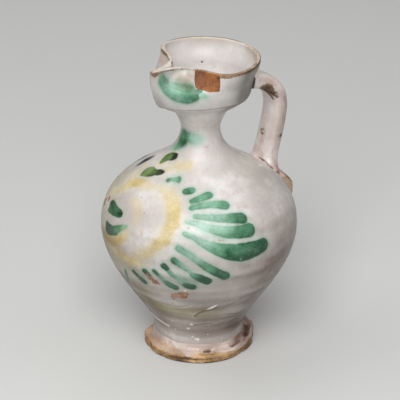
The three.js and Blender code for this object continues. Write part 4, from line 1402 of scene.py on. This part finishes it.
def clayFoot(pad):
    columns, wallRadius = pad["columns"], pad["wallRadius"]
    azimuth = np.linspace(-180, 180, columns, endpoint=False)
    turns = np.array(pad["turns"])
    edge, top, trough = (np.interp(azimuth, turns[:, 0], turns[:, k]) for k in (1, 2, 3))
    round50 = np.column_stack([polar(1, azimuth), np.zeros(columns)]) * 50
    edge = edge + 0.5 * softNoise(round50, 9, 21) + 0.22 * softNoise(round50, 3.5, 22)
    edge = np.minimum(edge, pad["edgeLimit"])
    top = top + 0.4 * softNoise(round50, 10, 23) + 0.15 * softNoise(round50, 4, 26)
    wallTop = pad["wallTop"] + 0.8 * softNoise(round50, 16, 27)
    rows, along = [], []

    def loop(radius, height, share):
        # a loop of the pad, and how far along its skin it lies from the wall
        rows.append(np.column_stack([polar(radius, azimuth), np.broadcast_to(height, azimuth.shape)]))
        along.append(np.broadcast_to(share, azimuth.shape))

    flat = edge - wallRadius
    for share in (0.3, 0.6, 0.85, 0.95):
        loop(share * pad["soleRadius"] * np.minimum(edge / 52.8, 1), 0, -untouched)
    for inset, height, further in ((1.5, 0, top + 2), (0.8, 0.25, top), (0.25, 0.9, top - 0.9)):
        loop(edge - inset, height, flat + further)
    for t in (0.2, 0.32, 0.44, 0.56, 0.68, 0.8):
        bulge = 0.4 * softNoise(round50 + [0, 0, 18 * t], 6, 24) - 0.5 * (t > 0.3) * (t < 0.5)
        loop(edge - 0.15 + np.minimum(bulge, 0.1), top * t, flat + top * (1 - t))
    for inset, drop, further in ((0.5, 0.75, 0.75), (1.3, 0.15, 0), (2.2, 0, -1.5)):
        loop(edge - inset, top - drop, flat + further)
    # down into the trough, then up in a cove against the wall
    middle = np.minimum(pad["troughRadius"], edge - 2.6)
    for t in (0.3, 0.55, 0.8, 1.0):
        r = edge - 2.2 + (middle - edge + 2.2) * t
        z = top + (trough - top) * smoothStep(0, 1, t)
        loop(r, z + 0.25 * softNoise(round50 + [0, 0, 30 * t], 7, 25) * t, r - wallRadius)
    for t in (0.15, 0.32, 0.5, 0.68, 0.84, 1.0):
        turn = math.radians(90 * t)
        r = middle - (middle - pad["coveRadius"]) * math.sin(turn)
        loop(r, trough + (wallTop - trough) * (1 - math.cos(turn)), r - wallRadius)
    for radius, height in ((41, wallTop - 1.5), (30, pad["underside"]), (12, pad["underside"])):
        loop(radius, height, 0)
    points = np.vstack([[[0, 0, 0]], *rows, [[0, 0, pad["underside"]]]])
    along = np.concatenate([[-untouched], *along, [0]])
    # glaze ran down off the wall onto the pad; the troughs are dark, and along the ground a dark band is soil
    # and painted shadow, crossed by cracks
    turned, level = azimuthOf(points), points[:, 2]
    deep, reached = (np.interp(turned, turns[:, 0], turns[:, k]) for k in (3, 4))
    away = np.linalg.norm(points[:, :2], axis=1)
    bare = along - reached - 0.9 * softNoise(points, 9, 31)
    side = along - (np.interp(turned, azimuth, edge) - wallRadius) + 0.3 + 0.7 * softNoise(points, 11, 35)
    side += 5.5 * window(turned, 48, 58, 96, 86) + 2 * smoothStep(90, 104, turned)
    furrow = 1 + 0.5 * window(turned, 118, 130, 165, 150)
    furrow = furrow - np.abs(away - 44.9 - 0.8 * smoothStep(80, 96, turned))
    furrow = np.where(level > 4, furrow + 0.7 * softNoise(points, 5, 33) - 6 * smoothStep(7, 8.2, deep), -5)
    soil = 1.7 + 0.9 * softNoise(points, 14, 32) - level
    for height, seed in ((3.1, 36), (4.9, 37)):
        crack = 0.25 + 0.45 * softNoise(points, 20, seed)
        crack -= np.abs(level - height - 0.5 * softNoise(points, 26, seed + 5))
        soil = np.maximum(soil, np.where((away > 50) & (turned > -10), crack, -5))
    # painted shade over the pad, heaviest on its right side
    shade = 0.2 + 0.2 * softNoise(points, 12, 34) + 0.5 * smoothStep(92, 118, turned)
    finishPiece(makeMesh("footPad", points, closedSkin(len(rows), columns), footClay), {
        "clayReach": bare, "sideReach": np.minimum(side, bare), "soilReach": soil, "troughReach": furrow,
        "shade": np.clip(shade, 0, 1)}, "bare_clay", "foot_disc")


clayFoot(footPad)


# Studio: a pale floor, a soft pale surround and four large soft lights

studio = {
    "floor": (206, 206, 204),
    "floorRadius": 3.5,        # metres, as all of the studio
    "surround": (0.86, 0.88, 0.9, 1.0),
    "surroundStrength": 0.05,
    "aimHeight": 0.16,
    "distance": 2.7,
    "lightSize": 1.8,
    "lights": [
        # name, azimuth, elevation, power
        ("frontSoftbox", 52, 46, 78),
        ("rightSoftbox", 132, 58, 9),
        ("leftSoftbox", -40, 60, 18),
        ("backSoftbox", 235, 45, 12),
    ],
}


def buildStudio():
    material, tree, shader = startMaterial("paleFloor")
    shader.inputs["Base Color"].default_value = tint(*studio["floor"])
    shader.inputs["Roughness"].default_value = 0.75
    ring = polar(studio["floorRadius"], np.linspace(0, 360, 64, endpoint=False))
    mesh = bpy.data.meshes.new("paleFloor")
    mesh.from_pydata([(x, y, 0) for x, y in ring], [], [list(range(64))])
    mesh.materials.append(material)
    show("paleFloor", mesh)
    world = bpy.data.worlds.new("softRoom")
    world.use_nodes = True
    background = world.node_tree.nodes["Background"]
    background.inputs["Color"].default_value = studio["surround"]
    background.inputs["Strength"].default_value = studio["surroundStrength"]
    bpy.context.scene.world = world
    for name, azimuth, elevation, power in studio["lights"]:
        light = bpy.data.lights.new(name, "AREA")
        light.energy, light.size = power, studio["lightSize"]
        lamp = show(name, light)
        back = Vector(compass(azimuth, elevation))
        lamp.location = Vector((0, 0, studio["aimHeight"])) + back * studio["distance"]
        lamp.rotation_euler = (-back).to_track_quat("-Z", "Y").to_euler()


buildStudio()
bpy.context.scene.view_settings.view_transform = "Standard"
print("studio lit")

bpy.context.view_layer.update()
